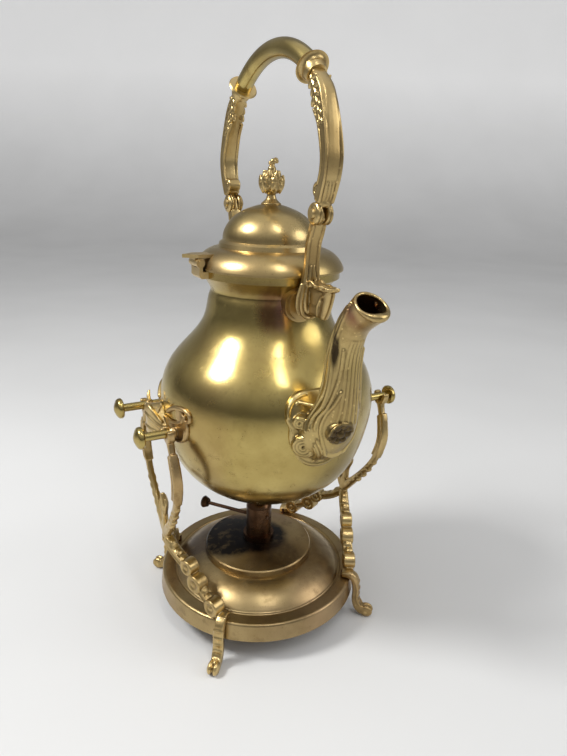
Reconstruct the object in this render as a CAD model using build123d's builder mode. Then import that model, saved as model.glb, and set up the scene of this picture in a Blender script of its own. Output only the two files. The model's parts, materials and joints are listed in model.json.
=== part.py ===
"""Spirit kettle on its stand, in brass. Millimetres, Z up, spout towards -Y.

The frame's origin lies on the table, under the middle of the overall length.
Heights are measured from the table. "Forward" distances run towards the spout,
from the kettle's upright axis on the kettle and from the stand's axis on the stand.
"""
import math
import os

from build123d import *

os.makedirs("parts", exist_ok=True)

# --- Overall placing -------------------------------------------------------
mouth_reach = 110.5          # kettle axis to the middle of the spout's mouth
mouth_slope = 46.0           # tilt of the mouth's axis above level, degrees
mouth_half_length = 11.0
plate_radius = 73.5
kettle_lead = 8.5            # the kettle hangs this far ahead of the stand's axis
lip_reach = kettle_lead + mouth_reach + mouth_half_length * math.sin(math.radians(mouth_slope))
stand_y = (lip_reach - plate_radius) / 2
kettle_y = stand_y - kettle_lead
running_fit = 0.06           # radial play of a pin or spindle that turns
seat_play = 0.3              # play between pieces that only come near each other

# --- Kettle body -----------------------------------------------------------
sheet = 1.4
body_bottom = 100.0
bottom_radius = 24.0
belly_radius = 71.0
belly_rise = 72.0            # bottom to the widest ring
neck_rise = 66.0             # widest ring to the neck
neck_radius = 38.4
rim_rise = 16.5              # neck to the rim's top
rim_band = 4.5
rim_radius = 44.5
rim_overhang = 1.9
mouth_radius = 41.2
belly_height = body_bottom + belly_rise
neck_height = belly_height + neck_rise
rim_top = neck_height + rim_rise

# --- Lid and finial --------------------------------------------------------
lid_sheet = 1.2
lid_rest = 0.3               # film of play between the rim and the flange
flange_radius = 46.7
flange_edge = 1.2
step_radius = 32.6
brim_rise = 12.7             # rim to the foot of the lid's step
step_height = 4.1
dome_radius = 29.8
dome_rise = 21.5
sleeve_wall = 0.9
sleeve_depth = 5.0
sleeve_play = 0.9
stud_radius = 1.8
stud_length = 5.6
nut_flats = 7.0
nut_height = 3.0
step_bottom = rim_top + brim_rise

# --- Lid hinge, on the left side ---------------------------------------------
hinge_reach = 48.6           # kettle axis to hinge pin
hinge_lift = 4.8             # rim to hinge pin
knuckle_radius = 2.6
hinge_pin_radius = 1.2
hinge_width = 14.0
leaf_knuckle = 6.0
leaf_width = 12.0
leaf_root_reach = 35.0
leaf_tip_reach = 57.6
leaf_lift = 2.9              # pin axis to the leaf's underside
leaf_thickness = 2.1
web_inner_reach = 47.4
web_outer_reach = 49.6
hinge_height = rim_top + hinge_lift

# --- Handle ------------------------------------------------------------------
arch_half_span = 45.0        # kettle axis to the middle of each collar
arch_rise = 16.6
grip_radius = 5.3
collar_radius = 9.2
collar_waist = 6.0
collar_half_length = 3.6
limb_width = 8.6             # across the kettle
limb_depth = 7.8
arm_width = 8.4
leaf_spread = 8.0            # width of the leaf ahead of each arm
leaf_web = 5.2
knee_reach = 58.0
knee_radius = 6.2
knee_width = 10.4
tongue_width = 3.2
tongue_radius = 5.0
rivet_radius = 1.6
rivet_head_radius = 3.0
rivet_head_height = 1.2
boss_radius = 9.2
boss_face = 44.6             # kettle axis to the boss's outer face
boss_base_radius = 10.6
boss_base_face = 41.6
boss_lift = 0.6              # neck to boss
arm_rise = 51.9              # boss to knee
limb_rise = 69.5             # knee to the ends of the arch
boss_height = neck_height + boss_lift
knee_height = boss_height + arm_rise
arch_end_height = knee_height + limb_rise

# --- Spout ---------------------------------------------------------------------
spout_wall = 1.3
plate_lift = 2.8             # thickness of the foot plate on the belly
plate_middle_height = belly_height - 4.0
rosette_reach = 86.8
rosette_height = belly_height - 1.5
rosette_radius = 8.0
inlet_radius = 9.0

# --- Pegs and their brackets ---------------------------------------------------
peg_drop = 12.0              # widest ring down to the pegs
peg_spread = 25.5            # stand axis to each peg, along Y
peg_radius = 2.7
peg_head_radius = 6.8
peg_run = 23.6               # bracket face to the end of each head
peg_head_length = 5.8
peg_head_edge = 1.6
bracket_rise = 1.4           # belly to the brackets' outer face
bracket_leaf_rise = 10.0     # belly to the crest of the leaf between the pegs
bracket_leaf_half_span = 16.0
peg_height = belly_height - peg_drop
bracket_radius = belly_radius + bracket_rise
peg_end_reach = bracket_radius + peg_run
peg_head_reach = peg_end_reach - peg_head_length

# --- Stand frames ----------------------------------------------------------------
frame_foot_height = 71.0
frame_foot_spread = 73.7     # stand axis to the forks' feet, along X
cradle_gap = 7.6             # bracket face to the middle of each cradle
frame_lean = 0.034           # both frames lean to the right by this share of the height
fork_thickness = 5.0
fork_stem_width = 9.0
cradle_spread = bracket_radius + cradle_gap
cradle_radius = 6.5
cradle_tip = 2.6             # cradle lips above the peg axis
cradle_play = 0.08
leg_thickness = 7.2
foot_thickness = 7.4
rim_crossing = 72.0          # stand axis to where each leg crosses the plate's rim
leg_bearing = 45.0           # bearing of each foot from the X axis, degrees
screw_radius = 1.5
screw_head_radius = 2.0
screw_head_height = 1.8
screw_reach = 66.8
screw_depth = 4.4

# --- Base plate --------------------------------------------------------------------
plate_underside = 17.6
plate_top = 30.0
plate_sheet = 1.5
plate_draft = 1.1
groove_radius = 62.4
groove_section = 1.3
dome_foot_radius = 60.6
ledge_height = 41.8
ledge_radius = 40.8
well_radius = 37.2

# --- Lamp ------------------------------------------------------------------------------
font_radius = 36.6
font_bottom = 21.0
font_wall = 1.2
font_bead_radius = 39.6
font_bead_height = 5.2
font_top = 50.2
font_seat_radius = 12.5
font_neck_radius = 8.0
collar_ring_radius = 11.5
collar_ring_height = 4.0
tube_radius = 9.4
tube_bore = 8.3
tube_top = 76.0
cap_rise = 6.4
cap_sheet = 1.1
wick_width = 10.0
wick_thickness = 3.0
wick_bottom = 30.0
wick_top = 84.5
slot_play = 0.4
wheel_root = 2.2
wheel_tip = 2.7
wheel_width = 1.6
wheel_spread = 2.6
wheel_teeth = 10
wheel_gap = 0.15             # wheel tips to the wick's face
spindle_radius = 1.3
spindle_height = 70.0
spindle_tail = 9.2
spindle_reach = 45.6
spindle_bearing = 129.0      # bearing of the knob from the X axis, degrees
knob_radius = 4.6
knob_neck_radius = 3.2
knob_length = 4.6

# --- Axes, planes and helpers ------------------------------------------------------------
stand_axis = Axis((0, stand_y, 0), (0, 0, 1))
kettle_axis = Axis((0, kettle_y, 0), (0, 0, 1))
stand_section = Plane(origin=(0, stand_y, 0), x_dir=(1, 0, 0), z_dir=(0, -1, 0))
kettle_section = Plane(origin=(0, kettle_y, 0), x_dir=(1, 0, 0), z_dir=(0, -1, 0))
stand_side = Plane(origin=(0, stand_y, 0), x_dir=(0, -1, 0), z_dir=(-1, 0, 0))
ends = {"front": 1, "rear": -1}
sides = {"left": -1, "right": 1}
margin = 1.0                 # how far a cutting tool runs past the face it opens


def kettle_side(ahead):
    """Upright plane along the kettle, with u measured forward (1) or to the rear (-1)."""
    return Plane(origin=(0, kettle_y, 0), x_dir=(0, -ahead, 0), z_dir=(-ahead, 0, 0))


def write(part, name):
    """Label one finished piece and write its file."""
    part.label = name
    export_step(part, f"parts/{name}.step")


def inset(points, distance):
    """Move each profile point to the left of the direction of travel."""
    moved = []
    for index, (u, v) in enumerate(points):
        u0, v0 = points[max(index - 1, 0)]
        u1, v1 = points[min(index + 1, len(points) - 1)]
        length = math.hypot(u1 - u0, v1 - v0)
        moved.append((u - distance * (v1 - v0) / length, v + distance * (u1 - u0) / length))
    return moved


def smooth(nodes, steps):
    """Evenly curved path through (u, v, radius) nodes."""
    padded = [nodes[0], *nodes, nodes[-1]]
    path = []
    for a, b, c, d in zip(padded, padded[1:], padded[2:], padded[3:]):
        for step in range(steps):
            t = step / steps
            path.append([
                b[k] + t * (c[k] - a[k]) / 2
                + t**2 * (a[k] - 2.5 * b[k] + 2 * c[k] - d[k] / 2)
                + t**3 * (1.5 * (b[k] - c[k]) + (d[k] - a[k]) / 2)
                for k in range(3)
            ])
    path.append(nodes[-1])
    return path


def strap(nodes, steps=2):
    """Draw a tapering strap through circles in the open sketch."""
    path = smooth(nodes, steps)
    for u, v, radius in path:
        with Locations((u, v)):
            Circle(radius)
    for (u0, v0, r0), (u1, v1, r1) in zip(path, path[1:]):
        heading = math.atan2(v1 - v0, u1 - u0)
        swing = math.acos((r0 - r1) / math.hypot(u1 - u0, v1 - v0))
        corners = [
            (u + r * math.cos(heading + turn), v + r * math.sin(heading + turn))
            for u, v, r, turn in (
                (u0, v0, r0, swing),
                (u1, v1, r1, swing),
                (u1, v1, r1, -swing),
                (u0, v0, r0, -swing),
            )
        ]
        Polygon(*corners, align=None)


def ring(centre_y, low, high, outer, inner=0):
    """Upright tube or disc, added to the open part."""
    with BuildSketch(Plane.XY.offset(low)) as section:
        with Locations((0, centre_y)):
            Circle(outer)
            if inner:
                Circle(inner, mode=Mode.SUBTRACT)
    extrude(section.sketch, amount=high - low)


def rod(start, direction, length, radius, mode=Mode.ADD):
    """Straight round rod, added to or cut from the open part."""
    with BuildSketch(Plane(origin=start, z_dir=direction)) as section:
        Circle(radius)
    extrude(section.sketch, amount=length, mode=mode)


# --- Kettle body: the full form, the hollow and the skin that fittings are cut to ------------
body_profile = [
    (bottom_radius, body_bottom),
    (bottom_radius + 17.0, body_bottom + 6.6),
    (belly_radius - 11.5, body_bottom + 25.0),
    (belly_radius - 2.8, belly_height - 23.5),
    (belly_radius, belly_height),
    (belly_radius - 5.8, belly_height + 20.5),
    (neck_radius + 11.1, neck_height - 26.5),
    (neck_radius + 2.6, neck_height - 12.0),
    (neck_radius, neck_height),
    (rim_radius - rim_overhang, rim_top - rim_band),
]


def body_outline(distance):
    """Closed half section of the body's form, shrunk by a distance."""
    points = inset(body_profile, distance)
    points[0] = (bottom_radius, body_bottom + distance)
    top = rim_top + margin
    Line((0, points[0][1]), points[0])
    Spline(*points, tangents=[(1, 0.12), (0.75, 1)])
    Polyline(points[-1], (points[-1][0], top), (0, top), (0, points[0][1]))


def body_solid(distance):
    """The body's form shrunk by a distance, as one solid open to no side."""
    with BuildPart() as form:
        with BuildSketch(kettle_section):
            with BuildLine():
                body_outline(distance)
            make_face()
        revolve(axis=kettle_axis)
    return form.part


with BuildPart() as body_form:
    add(body_solid(0))
    ring(kettle_y, rim_top - rim_band, rim_top, rim_radius)
    split(bisect_by=Plane.XY.offset(rim_top), keep=Keep.BOTTOM)

with BuildPart() as body_hollow:
    add(body_solid(sheet))
    split(bisect_by=Plane.XY.offset(rim_top - rim_band), keep=Keep.BOTTOM)
    ring(kettle_y, rim_top - rim_band, rim_top + margin, mouth_radius)

body_skin = body_solid(-plate_lift)

# --- Pegs ---------------------------------------------------------------------------------
peg_places = {
    f"{end}_{side}": (sides[side], stand_y - ends[end] * peg_spread)
    for end in ends
    for side in sides
}

pegs = {}
for place, (side, y) in peg_places.items():
    with BuildPart() as peg:
        with BuildSketch(Plane(origin=(0, y, peg_height), x_dir=(side, 0, 0), z_dir=(0, -side, 0))):
            with BuildLine():
                Polyline(
                    (peg_end_reach, 0),
                    (bracket_radius / 2, 0),
                    (bracket_radius / 2, peg_radius),
                    (peg_head_reach, peg_radius),
                    (peg_head_reach, peg_head_radius - 0.8),
                    (peg_head_reach + 0.8, peg_head_radius),
                    (peg_head_reach + peg_head_edge, peg_head_radius),
                )
                Spline(
                    (peg_head_reach + peg_head_edge, peg_head_radius),
                    (peg_end_reach - 1.4, peg_head_radius * 0.68),
                    (peg_end_reach, 0),
                    tangents=[(1, 0), (0, -1)],
                )
            make_face()
        revolve(axis=Axis((0, y, peg_height), (1, 0, 0)))
        add(body_form.part, mode=Mode.SUBTRACT)
    pegs[place] = peg.part
    write(peg.part, f"peg_{place}")

# --- Peg brackets, hugging the belly ---------------------------------------------------------
bracket_path = [
    (peg_spread + 3.5, peg_height + 11.5, 3.4),
    (peg_spread + 7.1, peg_height + 6.0, 3.8),
    (peg_spread + 4.0, peg_height + 0.5, 5.4),
    (peg_spread, peg_height, 6.6),
    (peg_spread - 8.5, peg_height, 5.6),
    (0.0, peg_height, 5.4),
]
bracket_leaf = [
    (bracket_leaf_half_span - 2.5, peg_height - 5.0, 4.0),
    (bracket_leaf_half_span - 8.5, peg_height - 3.5, 6.8),
    (0.0, peg_height + 1.0, 9.4),
]
for side_name, side in sides.items():
    with BuildPart() as peg_bracket:
        with BuildSketch(stand_side):
            strap(bracket_path)
            mirror(about=Plane.YZ)
        extrude(amount=-side * bracket_radius * 1.1)
        with BuildSketch(Plane.XY.offset(peg_height - 20)):
            with Locations((0, kettle_y)):
                Circle(bracket_radius)
        extrude(amount=40, mode=Mode.INTERSECT)
        crest = side * (belly_radius + bracket_leaf_rise)
        shoulder = side * (belly_radius - 2.0)
        with BuildSketch(Plane.XY.offset(peg_height - 20)) as leaf_plan:
            with BuildLine():
                Polyline(
                    (shoulder, stand_y - bracket_leaf_half_span),
                    (side * belly_radius / 2, stand_y),
                    (shoulder, stand_y + bracket_leaf_half_span),
                )
                ThreePointArc(
                    (shoulder, stand_y + bracket_leaf_half_span),
                    (crest, stand_y),
                    (shoulder, stand_y - bracket_leaf_half_span),
                )
            make_face()
        leaf_block = extrude(leaf_plan.sketch, amount=40, mode=Mode.PRIVATE)
        with BuildSketch(stand_side) as leaf_front:
            strap(bracket_leaf, steps=1)
            mirror(about=Plane.YZ)
        leaf_slab = extrude(leaf_front.sketch, amount=-side * 2 * bracket_radius, mode=Mode.PRIVATE)
        add(leaf_slab & leaf_block)
        add(body_form.part, mode=Mode.SUBTRACT)
        for end_name in ends:
            add(pegs[f"{end_name}_{side_name}"], mode=Mode.SUBTRACT)
    write(peg_bracket.part, f"peg_bracket_{side_name}")

# --- Spout ----------------------------------------------------------------------------------
# Stations along the bore: forward, height, slope in degrees, half width, half depth.
spout_stations = [
    (57.0, belly_height - 8.0, 20, 19.0, 17.5),
    (75.0, belly_height, 40, 16.0, 14.5),
    (84.0, belly_height + 13.0, 64, 12.8, 12.4),
    (87.6, belly_height + 30.0, 84, 10.2, 10.2),
    (89.3, belly_height + 49.0, 82, 8.9, 8.8),
    (93.8, belly_height + 64.0, 66, 8.4, 8.4),
    (100.6, belly_height + 73.0, 50, 8.8, 9.2),
    (mouth_reach, belly_height + 79.0, mouth_slope, 9.9, mouth_half_length),
]


def spout_solid(shrink, overrun):
    """Lofted spout, thinner by the shrink and running past its ends by the overrun."""
    stations = list(spout_stations)
    with BuildPart() as tube:
        for index, (ahead, height, slope, width, depth) in enumerate(stations):
            push = {0: -overrun, len(stations) - 1: overrun}.get(index, 0)
            tilt = math.radians(slope)
            centre = (
                0,
                kettle_y - ahead - push * math.cos(tilt),
                height + push * math.sin(tilt),
            )
            direction = (0, -math.cos(tilt), math.sin(tilt))
            with BuildSketch(Plane(origin=centre, x_dir=(1, 0, 0), z_dir=direction)):
                Ellipse(width - shrink, depth - shrink)
        loft()
    return tube.part


spout_outer = spout_solid(0, 0)
spout_bore = spout_solid(spout_wall, 1.5)

with BuildPart() as spout:
    # Foot plate: a broad shield with two shoulders, wrapped on the belly.
    with BuildSketch(kettle_section):
        strap([(0, plate_middle_height - 4.0, 17.0), (0, plate_middle_height + 2.0, 20.0)], 1)
        strap([(-9.5, plate_middle_height + 14.0, 12.5), (9.5, plate_middle_height + 14.0, 12.5)], 1)
    extrude(amount=belly_radius + 2 * plate_lift)
    add(body_skin, mode=Mode.INTERSECT)
    add(spout_outer)
    rod(
        (0, kettle_y - rosette_reach + 8, rosette_height - 2),
        (0, -math.cos(math.radians(10)), -math.sin(math.radians(10))),
        8,
        rosette_radius,
    )
    add(body_form.part, mode=Mode.SUBTRACT)
    add(spout_bore, mode=Mode.SUBTRACT)
write(spout.part, "spout")

# --- Kettle body ------------------------------------------------------------------------------
with BuildPart() as kettle_body:
    add(body_form.part)
    add(body_hollow.part, mode=Mode.SUBTRACT)
    rod(
        (0, kettle_y - belly_radius + 16, plate_middle_height - 2),
        (0, -1, 0),
        20,
        inlet_radius,
        mode=Mode.SUBTRACT,
    )
write(kettle_body.part, "kettle_body")

# --- Lid ----------------------------------------------------------------------------------------
flange_underside = rim_top + lid_rest
step_top = step_bottom + step_height


def lid_solid(shrink, low):
    """The lid's form shrunk by a distance and closed at a low face."""
    edge = flange_radius - shrink * 1.1
    shoulder_top = (step_radius - shrink * 0.3, step_bottom - shrink)
    with BuildPart() as form:
        with BuildSketch(kettle_section):
            with BuildLine():
                Polyline((0, low), (edge, low), (edge, flange_underside + flange_edge - shrink))
                ThreePointArc(
                    (edge, flange_underside + flange_edge - shrink),
                    (41.6 - shrink * 0.7, rim_top + 0.7 * brim_rise - shrink * 0.7),
                    shoulder_top,
                )
                Polyline(
                    shoulder_top,
                    (step_radius - 0.8 - shrink, step_bottom + 2.6 - shrink),
                    (dome_radius - shrink, step_top),
                )
                Spline(
                    (dome_radius - shrink, step_top),
                    *[
                        (
                            (dome_radius - shrink) * math.cos(math.radians(angle)),
                            step_top + (dome_rise - shrink) * math.sin(math.radians(angle)),
                        )
                        for angle in (25, 50, 70)
                    ],
                    (0, step_top + dome_rise - shrink),
                    tangents=[(0, 1), (-1, 0)],
                )
                Line((0, step_top + dome_rise - shrink), (0, low))
            make_face()
        revolve(axis=kettle_axis)
    return form.part


lid_form = lid_solid(0, flange_underside)
lid_cavity = lid_solid(lid_sheet, rim_top - 2 * rim_band)
dome_apex = step_top + dome_rise

with BuildPart() as lid:
    add(lid_form)
    add(lid_cavity, mode=Mode.SUBTRACT)
    rod((0, kettle_y, dome_apex - 5), (0, 0, 1), 10, stud_radius, mode=Mode.SUBTRACT)
write(lid.part, "lid")

with BuildPart() as lid_sleeve:
    sleeve_radius = mouth_radius - sleeve_play
    ring(kettle_y, flange_underside - sleeve_depth, step_bottom, sleeve_radius, sleeve_radius - sleeve_wall)
    add(lid_cavity, mode=Mode.INTERSECT)
write(lid_sleeve.part, "lid_sleeve")

# --- Finial: foot, stem, leafy bulb and bud, with its stud and nut ----------------------------------
with BuildPart() as finial:
    with BuildSketch(kettle_section):
        with BuildLine():
            Polyline(
                (0, dome_apex - stud_length),
                (stud_radius, dome_apex - stud_length),
                (stud_radius, dome_apex - 0.9),
                (6.6, dome_apex - 0.9),
                (6.6, dome_apex + 0.8),
                (4.4, dome_apex + 2.4),
            )
            Spline(
                (4.4, dome_apex + 2.4),
                (2.8, dome_apex + 6.2),
                (4.9, dome_apex + 9.0),
                (8.2, dome_apex + 13.4),
                (5.9, dome_apex + 18.0),
                (2.4, dome_apex + 20.2),
            )
            Spline(
                (2.4, dome_apex + 20.2),
                (3.8, dome_apex + 23.4),
                (2.3, dome_apex + 26.2),
                (0, dome_apex + 27.2),
                tangents=[(1, 1), (-1, 0)],
            )
            Line((0, dome_apex + 27.2), (0, dome_apex - stud_length))
        make_face()
    revolve(axis=kettle_axis)
    add(lid.part, mode=Mode.SUBTRACT)
write(finial.part, "finial")

with BuildPart() as finial_nut:
    with BuildSketch(Plane.XY.offset(dome_apex - lid_sheet - nut_height)):
        with Locations((0, kettle_y)):
            RegularPolygon(nut_flats / 2, 6, major_radius=False)
            Circle(stud_radius, mode=Mode.SUBTRACT)
    extrude(amount=nut_height + 0.2)
    add(lid.part, mode=Mode.SUBTRACT)
write(finial_nut.part, "finial_nut")

# --- Lid hinge ------------------------------------------------------------------------------------
hinge_section = Plane(origin=(0, kettle_y, 0), x_dir=(1, 0, 0), z_dir=(0, -1, 0))


def hinge_rod(radius, width, mode=Mode.ADD):
    """Rod on the hinge axis, centred on the kettle's middle plane."""
    with BuildSketch(hinge_section) as section:
        with Locations((-hinge_reach, hinge_height)):
            Circle(radius)
    extrude(section.sketch, amount=width / 2, both=True, mode=mode)


with BuildPart() as lid_hinge_leaf:
    with BuildSketch(Plane.XY.offset(hinge_height + leaf_lift)):
        with Locations((0, kettle_y)):
            Polygon(
                (-leaf_root_reach, leaf_width / 2 - 1.5),
                (-leaf_root_reach, -leaf_width / 2 + 1.5),
                (-leaf_root_reach - 3, -leaf_width / 2),
                (-hinge_reach - 1, -leaf_width / 2),
                (-leaf_tip_reach + 2.4, -1.6),
                (-leaf_tip_reach, 0),
                (-leaf_tip_reach + 2.4, 1.6),
                (-hinge_reach - 1, leaf_width / 2),
                (-leaf_root_reach - 3, leaf_width / 2),
                align=None,
            )
    extrude(amount=leaf_thickness)
    hinge_rod(knuckle_radius, leaf_knuckle)
    with BuildSketch(hinge_section):
        with Locations((-hinge_reach, hinge_height + leaf_lift / 2)):
            Rectangle(2 * knuckle_radius - 1, leaf_lift)
    extrude(amount=leaf_knuckle / 2, both=True)
    hinge_rod(hinge_pin_radius + running_fit, hinge_width, mode=Mode.SUBTRACT)
    add(lid_form, mode=Mode.SUBTRACT)
write(lid_hinge_leaf.part, "lid_hinge_leaf")

with BuildPart() as lid_hinge_bracket:
    with BuildSketch(hinge_section):
        with BuildLine():
            Polyline(
                (-web_inner_reach, hinge_height),
                (-web_inner_reach, rim_top - seat_play),
                (-mouth_radius, rim_top - seat_play),
                (-mouth_radius, rim_top - rim_band + 0.2),
                (-web_outer_reach + 1.4, rim_top - rim_band + 0.2),
                (-web_outer_reach, rim_top - rim_band + 1.8),
                (-web_outer_reach, hinge_height),
                close=True,
            )
        make_face()
    extrude(amount=hinge_width / 2, both=True)
    hinge_rod(knuckle_radius, hinge_width)
    hinge_rod(knuckle_radius + seat_play, leaf_knuckle + 2 * seat_play, mode=Mode.SUBTRACT)
    with BuildSketch(hinge_section):
        with Locations((-hinge_reach, hinge_height + knuckle_radius)):
            Rectangle(4 * knuckle_radius, 2 * knuckle_radius)
    extrude(amount=leaf_knuckle / 2 + seat_play, both=True, mode=Mode.SUBTRACT)
    hinge_rod(hinge_pin_radius, hinge_width + 2, mode=Mode.SUBTRACT)
    add(body_form.part, mode=Mode.SUBTRACT)
write(lid_hinge_bracket.part, "lid_hinge_bracket")

with BuildPart() as lid_hinge_pin:
    hinge_rod(hinge_pin_radius, hinge_width)
    for way in (-1, 1):
        with BuildSketch(Plane(
            origin=(-hinge_reach, kettle_y + way * hinge_width / 2, hinge_height),
            z_dir=(0, way, 0),
        )):
            Circle(hinge_pin_radius + 0.6)
        extrude(amount=0.9)
write(lid_hinge_pin.part, "lid_hinge_pin")

# --- Handle ------------------------------------------------------------------------------------------
arch_radius = (arch_half_span**2 + arch_rise**2) / (2 * arch_rise)
arch_slope = math.asin(arch_half_span / arch_radius)


def joint_plane(ahead):
    """Plane across the handle at a collar, facing down towards the limb."""
    return Plane(
        origin=(0, kettle_y - ahead * arch_half_span, arch_end_height),
        x_dir=(1, 0, 0),
        z_dir=(0, -ahead * math.cos(arch_slope), -math.sin(arch_slope)),
    )


with BuildPart() as handle_grip:
    with BuildLine(kettle_side(1)) as arch:
        ThreePointArc(
            (-arch_half_span, arch_end_height),
            (0, arch_end_height + arch_rise),
            (arch_half_span, arch_end_height),
        )
    with BuildSketch(joint_plane(-1)):
        Circle(grip_radius)
    sweep(path=arch.line)
write(handle_grip.part, "handle_grip")

knee_axis_points = {
    end: (0, kettle_y - ahead * knee_reach, knee_height) for end, ahead in ends.items()
}


def knee_rod(end, radius, width, mode=Mode.ADD):
    """Rod on a knee's cross axis, added to or cut from the open part."""
    with BuildSketch(Plane(origin=knee_axis_points[end], z_dir=(1, 0, 0))) as section:
        Circle(radius)
    extrude(section.sketch, amount=width / 2, both=True, mode=mode)


# Limb sections below a collar: forward, height, slope down in degrees, half width, half depth.
limb_stations = [
    (arch_half_span + 5.8, arch_end_height - 5.8, 47, 4.5, 4.9),
    (arch_half_span + 11.0, arch_end_height - 12.5, 56, 4.7, 6.0),
    (arch_half_span + 16.2, arch_end_height - 23.0, 68, 5.1, 4.2),
    (arch_half_span + 19.4, arch_end_height - 33.5, 78, 5.4, 3.0),
    (knee_reach + 8.0, knee_height + 28.0, 88, 5.5, 2.6),
    (knee_reach + 7.2, knee_height + 20.0, 102, 5.3, 2.7),
    (knee_reach + 4.0, knee_height + 12.0, 118, 5.0, 3.2),
    (knee_reach + 0.8, knee_height + 5.5, 120, 4.6, 3.6),
]
# Curl on the back of each limb, just above the knee, in side view.
limb_curl = [
    (knee_reach + 2.6, knee_height + 17.0, 2.2),
    (knee_reach + 1.0, knee_height + 11.8, 4.6),
    (knee_reach + 0.5, knee_height + 6.5, 3.6),
]
# Arm in side view: the upright and the scroll end on its boss, then the leaf ahead of it.
arm_side = [
    (knee_reach - 3.4, knee_height - 6.5, 3.0),
    (knee_reach - 6.6, knee_height - 15.5, 2.5),
    (boss_face + 5.8, knee_height - 26.5, 2.5),
    (boss_face + 5.4, boss_height + 17.0, 3.0),
    (boss_face + 4.6, boss_height + 9.0, 4.0),
    (boss_face + 4.3, boss_height + 1.0, 4.4),
    (boss_face + 4.3, boss_height - 6.0, 4.2),
]
arm_leaf = [
    (boss_face + 7.4, boss_height + 12.6, 2.6),
    (boss_face + 17.4, boss_height + 14.0, 2.3),
    (boss_face + 27.4, boss_height + 13.6, 1.8),
    (boss_face + 34.9, boss_height + 14.8, 0.8),
]
leaf_web_outline = [
    (boss_face + 7.0, boss_height + 13.0),
    (boss_face + 31.0, boss_height + 13.6),
    (boss_face + 30.0, boss_height + 6.0),
    (boss_face + 26.4, boss_height - 2.5),
    (boss_face + 21.4, boss_height - 4.6),
    (boss_face + 7.0, boss_height - 3.0),
]
# Arm in front view, from the middle plane: the strap widens into the scroll end.
arm_front = [
    (0, knee_height, arm_width / 2),
    (0, boss_height + 17.0, arm_width / 2),
    (0, boss_height + 8.0, 5.8),
    (0, boss_height + 1.0, 6.9),
    (0, boss_height - 1.0, 6.4),
]

for end, ahead in ends.items():
    with BuildPart() as handle_limb:
        with BuildSketch(joint_plane(ahead)):
            RectangleRounded(limb_width, limb_depth, 2.6)
        for reach, height, slope, half_width, half_depth in limb_stations:
            drop = math.radians(slope)
            with BuildSketch(Plane(
                origin=(0, kettle_y - ahead * reach, height),
                x_dir=(1, 0, 0),
                z_dir=(0, -ahead * math.cos(drop), -math.sin(drop)),
            )):
                RectangleRounded(2 * half_width, 2 * half_depth, 0.7 * half_depth)
        loft()
        knee_rod(end, knee_radius, knee_width)
        with BuildSketch(kettle_side(ahead)):
            strap(limb_curl, steps=1)
        extrude(amount=limb_width / 2, both=True)
        knee_rod(end, knee_radius + 2, tongue_width + 0.1, mode=Mode.SUBTRACT)
        knee_rod(end, rivet_radius, knee_width + 2, mode=Mode.SUBTRACT)
    write(handle_limb.part, f"handle_limb_{end}")

    with BuildPart() as handle_collar:
        collar_plane = joint_plane(ahead)
        section = Plane(origin=collar_plane.origin, x_dir=collar_plane.z_dir, z_dir=(1, 0, 0))
        with BuildSketch(section):
            with BuildLine():
                Polyline(
                    (collar_half_length, 0),
                    (collar_half_length, collar_waist - 0.4),
                    (collar_half_length - 1.4, collar_waist),
                    (0.4, collar_waist + 0.3),
                )
                ThreePointArc(
                    (0.4, collar_waist + 0.3),
                    (-1.6, collar_waist + 0.7),
                    (-collar_half_length + 0.9, collar_radius),
                )
                Polyline(
                    (-collar_half_length + 0.9, collar_radius),
                    (-collar_half_length, collar_radius - 0.6),
                    (-collar_half_length, 0),
                    (collar_half_length, 0),
                )
            make_face()
        revolve(axis=Axis(collar_plane.origin, collar_plane.z_dir))
        add(handle_grip.part, mode=Mode.SUBTRACT)
        add(handle_limb.part, mode=Mode.SUBTRACT)
    write(handle_collar.part, f"handle_collar_{end}")

    with BuildPart() as neck_boss:
        rod((0, kettle_y, boss_height), (0, -ahead, 0), boss_base_face, boss_base_radius)
        rod((0, kettle_y, boss_height), (0, -ahead, 0), boss_face, boss_radius)
        add(body_form.part, mode=Mode.SUBTRACT)
    write(neck_boss.part, f"neck_boss_{end}")

    with BuildPart() as handle_arm:
        with BuildSketch(kettle_side(ahead)):
            strap(arm_side)
        extrude(amount=arm_width, both=True)
        with BuildSketch(kettle_section):
            strap(arm_front)
        extrude(amount=2 * knee_reach, both=True, mode=Mode.INTERSECT)
        with BuildSketch(kettle_side(ahead)) as leaf_side:
            strap(arm_leaf)
        extrude(leaf_side.sketch, amount=leaf_spread / 2, both=True)
        with BuildSketch(kettle_side(ahead)) as web_side:
            Polygon(*leaf_web_outline, align=None)
        extrude(web_side.sketch, amount=leaf_web / 2, both=True)
        knee_rod(end, knee_radius + 0.15, arm_width + 2, mode=Mode.SUBTRACT)
        with BuildSketch(kettle_side(ahead)):
            strap([(knee_reach, knee_height, tongue_radius), arm_side[0]], steps=1)
        extrude(amount=tongue_width / 2, both=True)
        knee_rod(end, rivet_radius, knee_width, mode=Mode.SUBTRACT)
        add(neck_boss.part, mode=Mode.SUBTRACT)
        add(body_form.part, mode=Mode.SUBTRACT)
    write(handle_arm.part, f"handle_arm_{end}")

    with BuildPart() as knee_rivet:
        knee_rod(end, rivet_radius, knee_width)
        for way in (-1, 1):
            face = (way * knee_width / 2, kettle_y - ahead * knee_reach, knee_height)
            with BuildSketch(Plane(origin=face, z_dir=(way, 0, 0))):
                Circle(rivet_head_radius)
            extrude(amount=rivet_head_height, taper=25)
    write(knee_rivet.part, f"knee_rivet_{end}")

# --- Base plate --------------------------------------------------------------------------------------
dome_points = [(dome_foot_radius, plate_top + 0.4), (51.8, 37.6), (ledge_radius, ledge_height)]


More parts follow.
